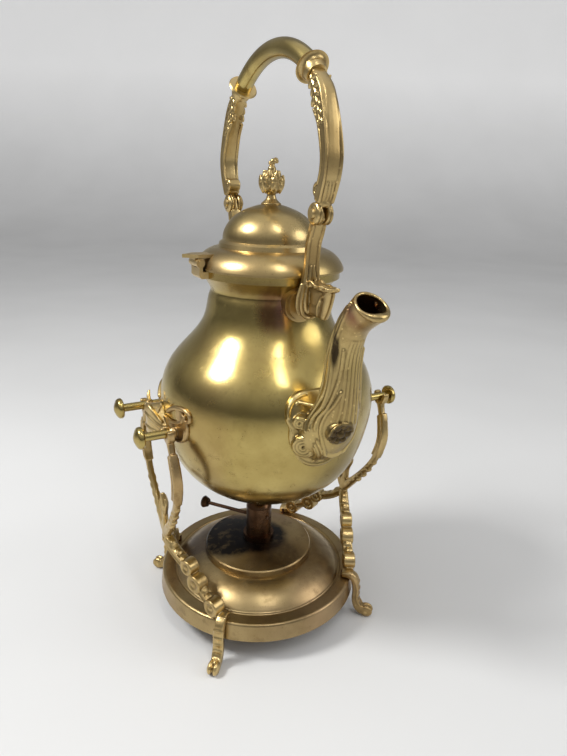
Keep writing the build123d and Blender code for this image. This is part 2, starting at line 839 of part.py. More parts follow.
def plate_solid(shrink, overrun=0):
    """The plate's form shrunk by a distance, filled to the axis."""
    edge = plate_radius - shrink
    top = plate_top - shrink
    low = plate_underside - overrun
    dome = inset(dome_points[::-1], -shrink)[::-1]
    with BuildPart() as form:
        with BuildSketch(stand_section):
            with BuildLine():
                Polyline((0, low), (edge, low), (edge - plate_draft, top - 2.2))
                ThreePointArc(
                    (edge - plate_draft, top - 2.2),
                    (edge - plate_draft - 0.6, top - 0.6),
                    (edge - plate_draft - 2.2, top),
                )
                Polyline((edge - plate_draft - 2.2, top), (dome[0][0] + 0.6, top), dome[0])
                ThreePointArc(*dome)
                Polyline(dome[-1], (0, dome[-1][1]), (0, low))
            make_face()
        revolve(axis=stand_axis)
    return form.part


def groove_ring(radius, mode):
    """Round-sectioned ring on the groove's line."""
    with BuildSketch(stand_section) as section:
        with Locations((groove_radius, plate_top + 0.3)):
            Circle(radius)
    revolve(section.sketch, axis=stand_axis, mode=mode)


plate_form = plate_solid(0)
leg_bearings = {
    f"{end}_{side}": (sides[side], ends[end]) for end in ends for side in sides
}


def foot_direction(side, ahead):
    """Unit vector from the stand's axis towards a foot."""
    bearing = math.radians(leg_bearing)
    return Vector(side * math.cos(bearing), -ahead * math.sin(bearing), 0)


with BuildPart() as base_plate:
    add(plate_form)
    add(plate_solid(plate_sheet, margin), mode=Mode.SUBTRACT)
    groove_ring(groove_section + plate_sheet, Mode.ADD)
    add(plate_form, mode=Mode.INTERSECT)
    groove_ring(groove_section, Mode.SUBTRACT)
    rod((0, stand_y, plate_top), (0, 0, 1), 20, well_radius, mode=Mode.SUBTRACT)
    for side, ahead in leg_bearings.values():
        hole = Vector(0, stand_y, plate_top - 6) + foot_direction(side, ahead) * screw_reach
        rod(hole, (0, 0, 1), 8, screw_radius + 0.1, mode=Mode.SUBTRACT)
write(base_plate.part, "base_plate")

# --- Stand frames ---------------------------------------------------------------------------------------
def frame_middle(side, height):
    """Where a frame's middle plane stands along X at a height."""
    rise = (height - frame_foot_height) / (peg_height - frame_foot_height)
    return side * (frame_foot_spread + rise * (cradle_spread - frame_foot_spread)) + frame_lean * height


fork_arm = [
    (4.0, frame_foot_height + 5.0, 4.2),
    (12.5, frame_foot_height + 15.5, 3.6),
    (peg_spread - 3.0, frame_foot_height + 27.5, 3.4),
    (peg_spread + 5.0, peg_height - 49.0, 3.3),
    (peg_spread + 8.8, peg_height - 38.0, 3.3),
    (peg_spread + 9.1, peg_height - 27.0, 3.3),
    (peg_spread + 5.7, peg_height - 16.0, 3.2),
    (peg_spread + 1.3, peg_height - 6.5, 3.6),
    (peg_spread, peg_height - 2.0, 4.4),
]
fork_bud = [
    (0, frame_foot_height + 10.0, 3.6),
    (0, frame_foot_height + 20.0, 2.6),
    (0, frame_foot_height + 27.0, 4.2),
    (0, frame_foot_height + 33.5, 1.8),
]
leg_scroll = [
    (-2.0, 76.0, 4.5),
    (2.0, 72.0, 4.5),
    (7.0, 66.0, 4.0),
    (14.0, 61.0, 3.6),
    (20.0, 58.6, 3.8),
    (24.5, 57.0, 5.5),
    (26.0, 52.0, 3.6),
    (30.0, 47.6, 6.0),
    (36.0, 43.6, 3.5),
    (42.0, 40.6, 3.5),
    (48.0, 37.6, 5.4),
    (52.0, 33.0, 3.8),
    (56.0, 28.5, 3.8),
]
leg_foot = [
    (66.0, 33.0, 3.2),
    (72.0, 33.4, 3.4),
    (76.9, 29.0, 3.2),
    (77.6, 20.0, 3.0),
    (77.6, 12.0, 3.3),
    (79.4, 6.0, 3.7),
    (83.2, 4.6, 4.2),
    (86.6, 4.2, 4.7),
]

for side_name, side in sides.items():
    with BuildPart() as stand_fork:
        with BuildSketch(stand_side):
            with Locations((0, frame_foot_height)):
                Rectangle(fork_stem_width, 14, align=(Align.CENTER, Align.MIN))
            strap(fork_arm)
            for lip in (-1, 1):
                with Locations((peg_spread + lip * (cradle_radius - 1.2), peg_height + cradle_tip - 1.2)):
                    Circle(1.9)
            with Locations((peg_spread, peg_height)):
                Circle(cradle_radius)
            mirror(about=Plane.YZ)
            strap(fork_bud)
            for ahead in ends.values():
                play = cradle_play if ahead > 0 else seat_play
                with Locations((ahead * peg_spread, peg_height)):
                    Circle(peg_radius + play, mode=Mode.SUBTRACT)
                    Rectangle(
                        2 * (peg_radius + play),
                        2 * cradle_radius,
                        align=(Align.CENTER, Align.MIN),
                        mode=Mode.SUBTRACT,
                    )
                with Locations((ahead * peg_spread, peg_height + cradle_tip)):
                    Rectangle(
                        3 * cradle_radius,
                        2 * cradle_radius,
                        align=(Align.CENTER, Align.MIN),
                        mode=Mode.SUBTRACT,
                    )
        extrude(amount=-side * 1.3 * cradle_spread)
        with BuildSketch(stand_section):
            top = peg_height + cradle_radius
            low = frame_foot_height
            Polygon(
                (frame_middle(side, low) - fork_thickness / 2, low),
                (frame_middle(side, low) + fork_thickness / 2, low),
                (frame_middle(side, top) + fork_thickness / 2, top),
                (frame_middle(side, top) - fork_thickness / 2, top),
                align=None,
            )
        extrude(amount=3 * peg_spread, both=True, mode=Mode.INTERSECT)
    write(stand_fork.part, f"stand_fork_{side_name}")

with BuildPart() as leg_screws:
    for side, ahead in leg_bearings.values():
        sheet_face = Vector(0, stand_y, plate_top - plate_sheet) + foot_direction(side, ahead) * screw_reach
        rod(sheet_face, (0, 0, 1), plate_sheet + screw_depth, screw_radius)
        rod(sheet_face, (0, 0, -1), screw_head_height, screw_head_radius)
write(leg_screws.part, "leg_screws")

for place, (side, ahead) in leg_bearings.items():
    start = Vector(frame_middle(side, frame_foot_height), stand_y, 0)
    crossing = Vector(0, stand_y, 0) + foot_direction(side, ahead) * rim_crossing
    heading = (crossing - start).normalized()
    outward = foot_direction(side, ahead)
    upright = Vector(0, 0, 1)
    with BuildPart() as leg:
        with BuildSketch(Plane(origin=start, x_dir=heading, z_dir=heading.cross(upright))):
            strap(leg_scroll)
        extrude(amount=leg_thickness / 2, both=True)
        split(bisect_by=Plane.XY.offset(frame_foot_height), keep=Keep.BOTTOM)
        split(bisect_by=Plane(origin=(0, stand_y, 0), z_dir=(0, -ahead, 0)), keep=Keep.TOP)
        with BuildSketch(Plane(origin=(0, stand_y, 0), x_dir=outward, z_dir=outward.cross(upright))):
            strap(leg_foot)
        extrude(amount=foot_thickness / 2, both=True)
        split(bisect_by=Plane.XY, keep=Keep.TOP)
        add(plate_form, mode=Mode.SUBTRACT)
        add(leg_screws.part, mode=Mode.SUBTRACT)
    write(leg.part, f"leg_{place}")

# --- Lamp: font, collar, tube, cap --------------------------------------------------------------------------
def font_solid(shrink):
    """The font's form shrunk by a wall."""
    bead = font_bead_radius - shrink
    with BuildPart() as form:
        with BuildSketch(stand_section):
            with BuildLine():
                Polyline(
                    (0, font_bottom + shrink),
                    (font_radius - shrink - 2, font_bottom + shrink),
                    (font_radius - shrink, font_bottom + shrink + 2),
                    (font_radius - shrink, ledge_height + shrink),
                    (bead, ledge_height + shrink),
                    (bead, ledge_height + font_bead_height - shrink - 0.8),
                    (bead - 0.8, ledge_height + font_bead_height - shrink),
                    (bead - 3.4, ledge_height + font_bead_height - shrink + 0.4),
                )
                ThreePointArc(
                    (bead - 3.4, ledge_height + font_bead_height - shrink + 0.4),
                    (25.0, font_top - 1.0 - shrink),
                    (font_seat_radius, font_top - shrink),
                )
                Polyline((font_seat_radius, font_top - shrink), (0, font_top - shrink), (0, font_bottom + shrink))
            make_face()
        revolve(axis=stand_axis)
    return form.part


with BuildPart() as fuel_reservoir:
    add(font_solid(0))
    add(font_solid(font_wall), mode=Mode.SUBTRACT)
    rod((0, stand_y, font_top - 3), (0, 0, 1), 6, font_neck_radius, mode=Mode.SUBTRACT)
write(fuel_reservoir.part, "fuel_reservoir")

with BuildPart() as burner_collar:
    ring(stand_y, font_top, font_top + collar_ring_height, collar_ring_radius, tube_radius)
write(burner_collar.part, "burner_collar")

along = Vector(math.cos(math.radians(spindle_bearing)), math.sin(math.radians(spindle_bearing)), 0)
across = Vector(-along.Y, along.X, 0)
spindle_offset = wick_thickness / 2 + wheel_gap + wheel_tip
spindle_centre = Vector(0, stand_y, spindle_height) + across * spindle_offset
burner_plane = Plane(origin=(0, stand_y, 0), x_dir=along, z_dir=(0, 0, 1))

with BuildPart() as burner_tube:
    ring(stand_y, font_top, tube_top, tube_radius, tube_bore)
    rod(
        spindle_centre - along * 2 * tube_radius,
        along,
        4 * tube_radius,
        spindle_radius + running_fit,
        mode=Mode.SUBTRACT,
    )
write(burner_tube.part, "burner_tube")

with BuildPart() as burner_cap:
    with BuildSketch(stand_section):
        with BuildLine():
            Polyline((tube_radius - cap_sheet, tube_top), (tube_radius, tube_top), (tube_radius, tube_top + 1))
            Spline(
                (tube_radius, tube_top + 1),
                (tube_radius * 0.66, tube_top + cap_rise * 0.8),
                (0, tube_top + cap_rise),
                tangents=[(-0.4, 1), (-1, 0)],
            )
            Line((0, tube_top + cap_rise), (0, tube_top + cap_rise - cap_sheet))
            Spline(
                (0, tube_top + cap_rise - cap_sheet),
                ((tube_radius - cap_sheet) * 0.66, tube_top + (cap_rise - cap_sheet) * 0.76),
                (tube_radius - cap_sheet, tube_top),
                tangents=[(1, 0), (0.4, -1)],
            )
        make_face()
    revolve(axis=stand_axis)
    with BuildSketch(burner_plane.offset(tube_top - margin)):
        Rectangle(wick_width + 2 * slot_play, wick_thickness + 2 * slot_play)
    extrude(amount=cap_rise + 3 * margin, mode=Mode.SUBTRACT)
write(burner_cap.part, "burner_cap")

# --- Wick and its raiser ------------------------------------------------------------------------------------
with BuildPart() as wick:
    with BuildSketch(burner_plane.offset(wick_bottom)):
        Rectangle(wick_width, wick_thickness)
    extrude(amount=wick_top - wick_bottom)
write(wick.part, "wick")

with BuildPart() as wick_spindle:
    rod(spindle_centre - along * spindle_tail, along, spindle_tail + spindle_reach, spindle_radius)
    for way in (-1, 1):
        face = spindle_centre + along * (way * wheel_spread - wheel_width / 2)
        with BuildSketch(Plane(origin=face, x_dir=across, z_dir=along)):
            Circle(wheel_root)
            with PolarLocations(wheel_root, wheel_teeth):
                Rectangle(2 * (wheel_tip - wheel_root), 0.6)
        extrude(amount=wheel_width)
write(wick_spindle.part, "wick_spindle")

with BuildPart() as spindle_knob:
    knob_section = Plane(origin=spindle_centre, x_dir=along, z_dir=along.cross(Vector(0, 0, 1)))
    with BuildSketch(knob_section):
        with BuildLine():
            Polyline(
                (spindle_reach - knob_length + 1.6, 0),
                (spindle_reach - knob_length, 0),
                (spindle_reach - knob_length, knob_neck_radius),
                (spindle_reach - 1.2, knob_radius),
                (spindle_reach - 0.2, knob_radius - 0.4),
                (spindle_reach + 0.6, 0),
                close=True,
            )
        make_face()
    revolve(axis=Axis(spindle_centre, along))
    add(wick_spindle.part, mode=Mode.SUBTRACT)
write(spindle_knob.part, "spindle_knob")
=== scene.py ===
"""Spirit kettle on its stand: materials, cast ornament, light and camera."""
import json
import math

import bmesh
import bpy
from mathutils import Matrix, Vector
from mathutils.bvhtree import BVHTree


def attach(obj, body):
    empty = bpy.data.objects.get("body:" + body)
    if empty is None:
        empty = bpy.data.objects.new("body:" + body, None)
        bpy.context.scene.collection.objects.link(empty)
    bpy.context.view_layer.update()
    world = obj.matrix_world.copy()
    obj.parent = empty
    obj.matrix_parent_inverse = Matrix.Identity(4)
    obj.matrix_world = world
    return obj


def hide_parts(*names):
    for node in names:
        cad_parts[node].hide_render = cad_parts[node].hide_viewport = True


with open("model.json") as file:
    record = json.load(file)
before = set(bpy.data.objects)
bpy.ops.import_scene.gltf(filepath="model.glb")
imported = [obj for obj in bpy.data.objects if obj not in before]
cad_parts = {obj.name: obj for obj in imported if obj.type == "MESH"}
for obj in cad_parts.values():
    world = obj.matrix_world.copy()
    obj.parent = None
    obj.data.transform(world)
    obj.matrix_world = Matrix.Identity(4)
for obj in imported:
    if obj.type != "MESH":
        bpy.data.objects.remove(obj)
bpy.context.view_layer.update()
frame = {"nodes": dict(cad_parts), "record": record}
nodes = frame["nodes"]
slots = {part["node"]: part["material_slot"] for part in frame["record"]["subparts"]}
bodies = {node: body for body, group in frame["record"]["behaviour"]["bodies"].items() for node in group}

# Lengths of the looks and the cast forms are in millimetres, and those of the studio in metres.
MM = 0.001
SY = 26.706  # the stand's axis
KY = 18.206  # the kettle's axis
BRAZE = 71  # height where the forks stand on the legs
PEG = (25.5, 160)  # a peg: ahead of the stand's axis, height
KNEE = (58, 290.5)  # the handle's knee: ahead of the kettle's axis, height
MOUTH = (110.5, 251)  # middle of the spout's mouth: ahead of the kettle's axis, height
MOUTH_FACING = math.radians(46)
FINIAL_BASE = 292.8


# --- Materials -----------------------------------------------------------------------
class Shader:
    """A principled material whose colour, roughness and bump come from nodes."""

    def __init__(self, name, **sockets):
        self.material = bpy.data.materials.new(name)
        self.material.use_nodes = True
        self.tree = self.material.node_tree
        self.shader = self.tree.nodes["Principled BSDF"]
        for key, value in sockets.items():
            self.shader.inputs[key.replace("_", " ")].default_value = value
        self.place = self.node("ShaderNodeTexCoord").outputs["Object"]

    def node(self, kind, links=(), **values):
        node = self.tree.nodes.new(kind)
        for key, value in values.items():
            setattr(node, key, value)
        for key, value in dict(links).items():
            socket = node.inputs[key]
            if isinstance(value, bpy.types.NodeSocket):
                self.tree.links.new(value, socket)
            else:
                socket.default_value = value
        return node

    def noise(self, scale, detail=3.0, rough=0.55, stretch=(1, 1, 1), warp=0.0):
        place = self.node("ShaderNodeMapping", {"Vector": self.place, "Scale": stretch}).outputs[0]
        links = {"Vector": place, "Scale": scale, "Detail": detail, "Roughness": rough, "Distortion": warp}
        return self.node("ShaderNodeTexNoise", links).outputs["Fac"]

    def ramp(self, value, stops):
        node = self.node("ShaderNodeValToRGB", {"Fac": value})
        ramp = node.color_ramp
        while len(ramp.elements) < len(stops):
            ramp.elements.new(0.5)
        for element, (position, colour) in zip(ramp.elements, stops):
            element.position = position
            if isinstance(colour, (int, float)):
                colour = (colour, colour, colour)
            element.color = (*colour, 1)
        return node.outputs["Color"]

    def math(self, operation, a, b=0.0, c=0.0, clamp=False):
        node = self.node("ShaderNodeMath", {0: a, 1: b, 2: c}, operation=operation, use_clamp=clamp)
        return node.outputs[0]

    def mix(self, factor, a, b):
        node = self.node("ShaderNodeMix", {0: factor}, data_type="RGBA")
        for socket, value in ((node.inputs[6], a), (node.inputs[7], b)):
            if isinstance(value, bpy.types.NodeSocket):
                self.tree.links.new(value, socket)
            else:
                socket.default_value = (*value, 1)
        return node.outputs[2]

    def near(self, centre, radius, soft, stretch=(1, 1, 1)):
        """1 inside an ellipsoid about a point (millimetres), falling to 0 over the soft distance."""
        point = tuple(value * MM for value in centre)
        vector = "ShaderNodeVectorMath"
        moved = self.node(vector, {0: self.place, 1: point}, operation="SUBTRACT")
        scaled = self.node(vector, {0: moved.outputs[0], 1: stretch}, operation="MULTIPLY")
        length = self.node(vector, {0: scaled.outputs[0]}, operation="LENGTH")
        links = {0: length.outputs["Value"], 1: radius * MM, 2: (radius + soft) * MM, 3: 1.0, 4: 0.0}
        return self.node("ShaderNodeMapRange", links, interpolation_type="SMOOTHSTEP").outputs[0]

    def stain_or_reflection(self, tone, colour, centre, radius, soft, strength=1.0, stretch=(1, 1, 1)):
        """Lay a ragged patch of one colour over a tone, for stained spots and painted dark reflections."""
        area = self.near(centre, radius, soft, stretch)
        ragged = self.math("MULTIPLY_ADD", self.noise(160, 4, 0.65), 1.2, -0.6)
        ragged = self.math("MULTIPLY", ragged, self.math("MULTIPLY", area, 1.4))
        edge = self.math("ADD", area, ragged, clamp=True)
        return self.mix(self.math("MULTIPLY", edge, strength), tone, colour)

    def set(self, socket, value):
        self.tree.links.new(value, self.shader.inputs[socket])

    def bump(self, height, distance, strength=1.0):
        links = {"Height": height, "Distance": distance, "Strength": strength}
        previous = self.shader.inputs["Normal"].links
        if previous:
            links["Normal"] = previous[0].from_socket
        self.set("Normal", self.node("ShaderNodeBump", links).outputs[0])


RUST = (0.16, 0.055, 0.03)
SOOT = (0.018, 0.016, 0.017)
PATINA = (0.055, 0.035, 0.016)
ROUND = (1, 1, 1)


def brass(name, light, deep, rough, spots, bump=0.00003, crevice=0.0, rosy=0.3, stains_and_reflections=()):
    """Aged brass: cloudy tones, brown specks, darker hollows, coloured patches and a faint unevenness.

    A patch is (colour, centre, radius, soft edge, strength, stretch), as the Shader's patch method takes
    them;
    most are stained spots, and the body's lowest one is a painted dark reflection.
    """
    look = Shader(name, Metallic=1.0)
    clouds = look.noise(24, 4)
    fine = look.noise(260, 4, 0.6)
    tone = look.mix(look.ramp(clouds, [(0.36, 0.0), (0.66, 1.0)]), light, deep)
    blush = look.ramp(look.noise(14, 3, 0.5, (1, 1, 0.6)), [(0.5, 0.0), (0.7, 1.0)])
    copper = (light[0] * 0.98, light[1] * 0.84, light[2] * 1.15)
    tone = look.mix(look.math("MULTIPLY", blush, rosy), tone, copper)
    blotches = look.ramp(look.noise(75, 5, 0.7), [(0.55, 0.0), (0.72, 1.0)])
    amount = look.math("MULTIPLY", blotches, spots)
    brown = (deep[0] * 0.42, deep[1] * 0.36, deep[2] * 0.36)
    tone = look.mix(amount, tone, brown)
    pits = look.ramp(look.noise(900, 2, 0.5), [(0.62, 0.0), (0.74, 1.0)])
    tone = look.mix(look.math("MULTIPLY", pits, 0.35), tone, brown)
    if crevice:
        point = look.node("ShaderNodeNewGeometry").outputs["Pointiness"]
        hollow = look.ramp(point, [(0.44, 1.0), (0.5, 0.0)])
        tone = look.mix(look.math("MULTIPLY", hollow, crevice), tone, PATINA)
        worn = look.ramp(point, [(0.51, 0.0), (0.6, 1.0)])
        tone = look.mix(look.math("MULTIPLY", worn, 0.6), tone, tuple(min(1, c * 1.25) for c in light))
    for colour, centre, radius, soft, strength, stretch in stains_and_reflections:
        tone = look.stain_or_reflection(tone, colour, centre, radius, soft, strength, stretch)
    look.set("Base Color", tone)
    cloudy = look.math("MULTIPLY_ADD", clouds, rough * 0.5, rough * 0.72)
    rubbed = look.math("MULTIPLY_ADD", fine, rough * 0.3, cloudy)
    look.set("Roughness", look.math("ADD", rubbed, look.math("MULTIPLY", amount, 0.3)))
    look.bump(look.noise(55, 2), bump * 6, 0.3)
    look.bump(fine, bump, 0.6)
    return look.material


body_stains_and_reflection = [
    # The first entry is painted dark reflection, darkening the belly towards the bottom; the rest are
    # rust-red and brown spots.
    ((0.15, 0.105, 0.035), (0, KY, 112), 22, 46, 0.55, (1, 1, 1.25)),
    (RUST, (-17, KY - 36, 236), 4, 7, 0.75, (1, 1, 0.55)),
    ((0.30, 0.16, 0.12), (-10, KY - 38, 232), 2, 5, 0.6, (1, 1, 0.4)),
    ((0.12, 0.08, 0.035), (-30, KY - 28, 246), 5, 16, 0.5, (0.6, 0.6, 2)),
]
plate_stains = [
    ((0.11, 0.09, 0.085), (-34, SY + 22, 42), 10, 22, 0.75, ROUND),
    ((0.14, 0.08, 0.04), (20, SY - 40, 38), 8, 24, 0.5, ROUND),
    ((0.16, 0.10, 0.05), (45, SY - 20, 34), 6, 20, 0.5, ROUND),
    ((0.12, 0.075, 0.04), (-10, SY - 66, 27), 4, 22, 0.4, ROUND),
]
font_stains = [
    (SOOT, (-17, SY + 12, 49), 22, 10, 0.98, ROUND),
    (SOOT, (0, SY, 50), 17, 8, 0.98, ROUND),
    ((0.07, 0.04, 0.02), (6, SY - 28, 47), 8, 14, 0.65, ROUND),
]
spout_stains = [
    ((0.22, 0.085, 0.055), (0, KY - 103, 246), 5.5, 4, 0.95, (0.8, 1, 1)),
    ((0.045, 0.028, 0.016), (-3, KY - 96, 178), 6.4, 3, 0.85, ROUND),
    ((0.03, 0.02, 0.012), (-8.6, KY - 92.6, 226), 1.2, 2, 0.95, (1, 1, 0.22)),
]
CAST = {"bump": 0.00005, "crevice": 0.95}
polished = brass("polished_brass", (0.55, 0.43, 0.155), (0.36, 0.265, 0.085), 0.2, 0.34, stains_and_reflections=body_stains_and_reflection)
lid_look = brass("lid_brass", (0.54, 0.42, 0.18), (0.37, 0.27, 0.105), 0.26, 0.4, rosy=0.45)
plate_brass = brass("plate_brass", (0.47, 0.35, 0.17), (0.31, 0.22, 0.10), 0.3, 0.45, stains_and_reflections=plate_stains)
font_brass = brass("font_brass", (0.47, 0.34, 0.16), (0.31, 0.21, 0.095), 0.31, 0.5, stains_and_reflections=font_stains)
cast = brass("cast_brass", (0.60, 0.45, 0.205), (0.40, 0.275, 0.11), 0.3, 0.45, **CAST)
spout_brass = brass(
    "spout_brass", (0.55, 0.42, 0.18), (0.37, 0.27, 0.10), 0.27, 0.4, stains_and_reflections=spout_stains, **CAST
)
burner = brass("burner_brass", (0.115, 0.062, 0.032), (0.045, 0.025, 0.015), 0.26, 0.6, rosy=0.5)
steel = brass("old_steel", (0.15, 0.085, 0.05), (0.07, 0.04, 0.028), 0.5, 0.6, bump=0.00008, rosy=0.2)

cotton = Shader("wick_cotton", Roughness=0.9)
weave = cotton.noise(1400, 2, 0.5, (1, 1, 0.25))
charred = cotton.near((0, SY, 86), 4, 5)
clean = cotton.ramp(weave, [(0.35, (0.42, 0.36, 0.28)), (0.65, (0.72, 0.66, 0.55))])
cotton.set("Base Color", cotton.mix(charred, clean, (0.03, 0.025, 0.02)))
cotton.bump(weave, 0.0002)

LOOKS = {
    "polished_brass": polished,
    "cast_brass": cast,
    "burner_brass": burner,
    "old_steel": steel,
    "cotton": cotton.material,
}
for name, slot in slots.items():
    nodes[name].data.materials.clear()
    nodes[name].data.materials.append(LOOKS[slot])
OWN_LOOKS = {
    "base_plate": plate_brass,
    "fuel_reservoir": font_brass,
    "lid": lid_look,
    "spout": spout_brass,
    "spindle_knob": burner,
}
for name, look in OWN_LOOKS.items():
    nodes[name].data.materials[0] = look


# --- Cast forms -----------------------------------------------------------------------
def smooth(points, steps=5):
    """Evenly curved path through points of any number of values."""
    padded = [points[0], *points, points[-1]]
    path = []
    for a, b, c, d in zip(padded, padded[1:], padded[2:], padded[3:]):
        for step in range(steps):
            t = step / steps
            path.append(tuple(
                b[k] + t * (c[k] - a[k]) / 2
                + t**2 * (a[k] - 2.5 * b[k] + 2 * c[k] - d[k] / 2)
                + t**3 * (1.5 * (b[k] - c[k]) + (d[k] - a[k]) / 2)
                for k in range(len(b))
            ))
    return [*path, tuple(points[-1])]


def tangents(path):
    """Unit directions along a path of points."""
    found = []
    for index in range(len(path)):
        a, b = path[max(index - 1, 0)], path[min(index + 1, len(path) - 1)]
        found.append((Vector(b[:3]) - Vector(a[:3])).normalized())
    return found


def around(side, other, share):
    """Unit direction at a share of a turn from one direction towards another at right angles to it."""
    return side * math.cos(math.tau * share) + other * math.sin(math.tau * share)


def surface(node):
    """The surface of a node, to find the nearest places on it."""
    mesh = nodes[node].data
    return BVHTree.FromPolygons([v.co for v in mesh.vertices], [p.vertices for p in mesh.polygons])


class Casting:
    """Closed forms, in a piece's own (u, v, w) millimetres, that melt into one cast piece."""

    def __init__(self, place):
        self.mesh = bmesh.new()
        self.place = place

    def copy(self, node):
        """Start from the shape of a node."""
        self.mesh.from_mesh(nodes[node].data)
        bmesh.ops.scale(self.mesh, vec=(1 / MM,) * 3, verts=self.mesh.verts)

    def skin(self, rings):
        """Close a row of equal rings into a solid."""
        loops = [[self.mesh.verts.new(self.place(*point)) for point in ring] for ring in rings]
        for first, second in zip(loops, loops[1:]):
            for index in range(len(first)):
                after = (index + 1) % len(first)
                self.mesh.faces.new((first[index], first[after], second[after], second[index]))
        self.mesh.faces.new(loops[0][::-1])
        self.mesh.faces.new(loops[-1])

    def bar(self, points, power=3.0, steps=5, cap=0.5):
        """Bar in the (u, v) plane through (u, v, w, half width in the plane, half width across)."""
        path = smooth(points, steps)
        heads = tangents(path)

        def ring(centre, head, half, across):
            side = Vector((-head.y, head.x, 0))
            side.normalize()
            loop = []
            for k in range(20):
                c, s = math.cos(math.tau * k / 20), math.sin(math.tau * k / 20)
                a = math.copysign(abs(c) ** (2 / power), c) * half
                b = math.copysign(abs(s) ** (2 / power), s) * across
                loop.append(centre + side * a + Vector((0, 0, b)))
            return loop

        def end(index, way, share):
            u, v, w, half, across = path[index]
            push = way * cap * half * math.sqrt(1 - share**2)
            centre = Vector((u, v, w)) + heads[index] * push
            return ring(centre, heads[index], half * share, across * share)

        rings = [end(0, -1, share) for share in (0.35, 0.75, 0.94)]
        for (u, v, w, half, across), head in zip(path, heads):
            rings.append(ring(Vector((u, v, w)), head, half, across))
        rings += [end(len(path) - 1, 1, share) for share in (0.94, 0.75, 0.35)]
        self.skin(rings)

    def bead(self, points, steps=5, closed=False):
        """Round bead through (u, v, w, radius)."""
        path = smooth(points, steps)
        heads = tangents(path)
        side = heads[0].orthogonal().normalized()
        rings = []
        for index, ((u, v, w, radius), head) in enumerate(zip(path, heads)):
            side = (side - head * side.dot(head)).normalized()
            other = head.cross(side)
            shares = [1.0]
            if index == 0 and not closed:
                shares = [0.4, 0.8, 1.0]
            if index == len(path) - 1 and not closed:
                shares = [1.0, 0.8, 0.4]
            for share in shares:
                way = -1 if index == 0 else 1
                centre = Vector((u, v, w)) + head * (way * radius * math.sqrt(1 - share**2))
                rings.append([centre + around(side, other, k / 10) * radius * share for k in range(10)])
        self.skin(rings)

    def lobe(self, centre, radii, lean=0.0):
        """Egg-shaped lobe, leaned by an angle in the (u, v) plane."""
        turn = Matrix.Rotation(math.radians(lean), 3, "Z")
        rings = []
        for row in range(1, 10):
            a = math.pi * row / 10
            rings.append([
                Vector(centre) + turn @ Vector((
                    radii[0] * math.sin(a) * math.cos(math.tau * k / 14),
                    radii[1] * math.sin(a) * math.sin(math.tau * k / 14),
                    -radii[2] * math.cos(a),
                ))
                for k in range(14)
            ])
        self.skin(rings)

    def drum(self, centre, profile, axis=(0, 0, 1)):
        """Turned form about an axis, through (distance along the axis, radius)."""
        head = Vector(axis).normalized()
        side = head.orthogonal().normalized()
        other = head.cross(side)
        self.skin([
            [Vector(centre) + head * along + around(side, other, k / 28) * radius for k in range(28)]
            for along, radius in profile
        ])

    def roll(self, centre, radius, half, eye=True):
        """Scroll end seen from both sides: a roll across the piece with a hollow round an eye."""
        profile = [
            (-half + 0.7, 0.2 * radius), (-half + 0.9, 0.45 * radius), (-half, 0.66 * radius),
            (-half, 0.86 * radius), (-half + 0.5, radius), (half - 0.5, radius), (half, 0.86 * radius),
            (half, 0.66 * radius), (half - 0.9, 0.45 * radius), (half - 0.7, 0.2 * radius),
        ]
        self.drum(centre, profile)
        if eye:
            for way in (-1, 1):
                u, v, w = centre
                self.lobe((u, v, w + way * (half - 0.7)), (0.3 * radius, 0.3 * radius, 0.8))

    def spiral(self, centre, start, end, turns, radius, phase=0.0, way=1):
        """Bead wound in the (u, v) plane from a start radius to an end radius."""
        u, v, w = centre
        count = int(12 * turns)
        points = []
        for k in range(count + 1):
            share = k / count
            reach = start + (end - start) * share
            angle = math.radians(phase) + way * math.tau * turns * share
            points.append((u + reach * math.cos(angle), v + reach * math.sin(angle), w, radius))
        self.bead(points, 2)

    def pour(self, name, node, voxel=0.4, soften=2, look=None, low=None):
        """Melt the forms into one skin, kept above a low height if one is given, to stand for a node."""
        bmesh.ops.scale(self.mesh, vec=(MM,) * 3, verts=self.mesh.verts)
        bmesh.ops.recalc_face_normals(self.mesh, faces=self.mesh.faces)
        data = bpy.data.meshes.new(name)
        self.mesh.to_mesh(data)
        self.mesh.free()
        piece = bpy.data.objects.new(name, data)
        bpy.context.collection.objects.link(piece)
        remesh = piece.modifiers.new("melt", "REMESH")
        remesh.mode = "VOXEL"
        remesh.voxel_size = voxel * MM
        soft = piece.modifiers.new("soften", "SMOOTH")
        soft.factor = 0.5
        soft.iterations = soften
        graph = bpy.context.evaluated_depsgraph_get()
        skin = bpy.data.meshes.new_from_object(piece.evaluated_get(graph))
        piece.modifiers.clear()
        piece.data = skin
        bpy.data.meshes.remove(data)
        skin.name = name
        if low is not None:
            for vertex in skin.vertices:
                vertex.co.z = max(vertex.co.z, low * MM)
        skin.polygons.foreach_set("use_smooth", [True] * len(skin.polygons))
        skin.materials.clear()
        skin.materials.append(look or LOOKS[slots[node]])
        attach(piece, bodies[node])
        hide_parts(node)
        return piece


# --- Stand forks and legs --------------------------------------------------------------
def frame_middle(side, height):
    """Where a frame's middle plane stands along X at a height: splayed, and leaned to one side."""
    foot, spread, lean = 73.7, 6.3, 0.034
    return side * (foot + (height - BRAZE) / (PEG[1] - BRAZE) * spread) + lean * height


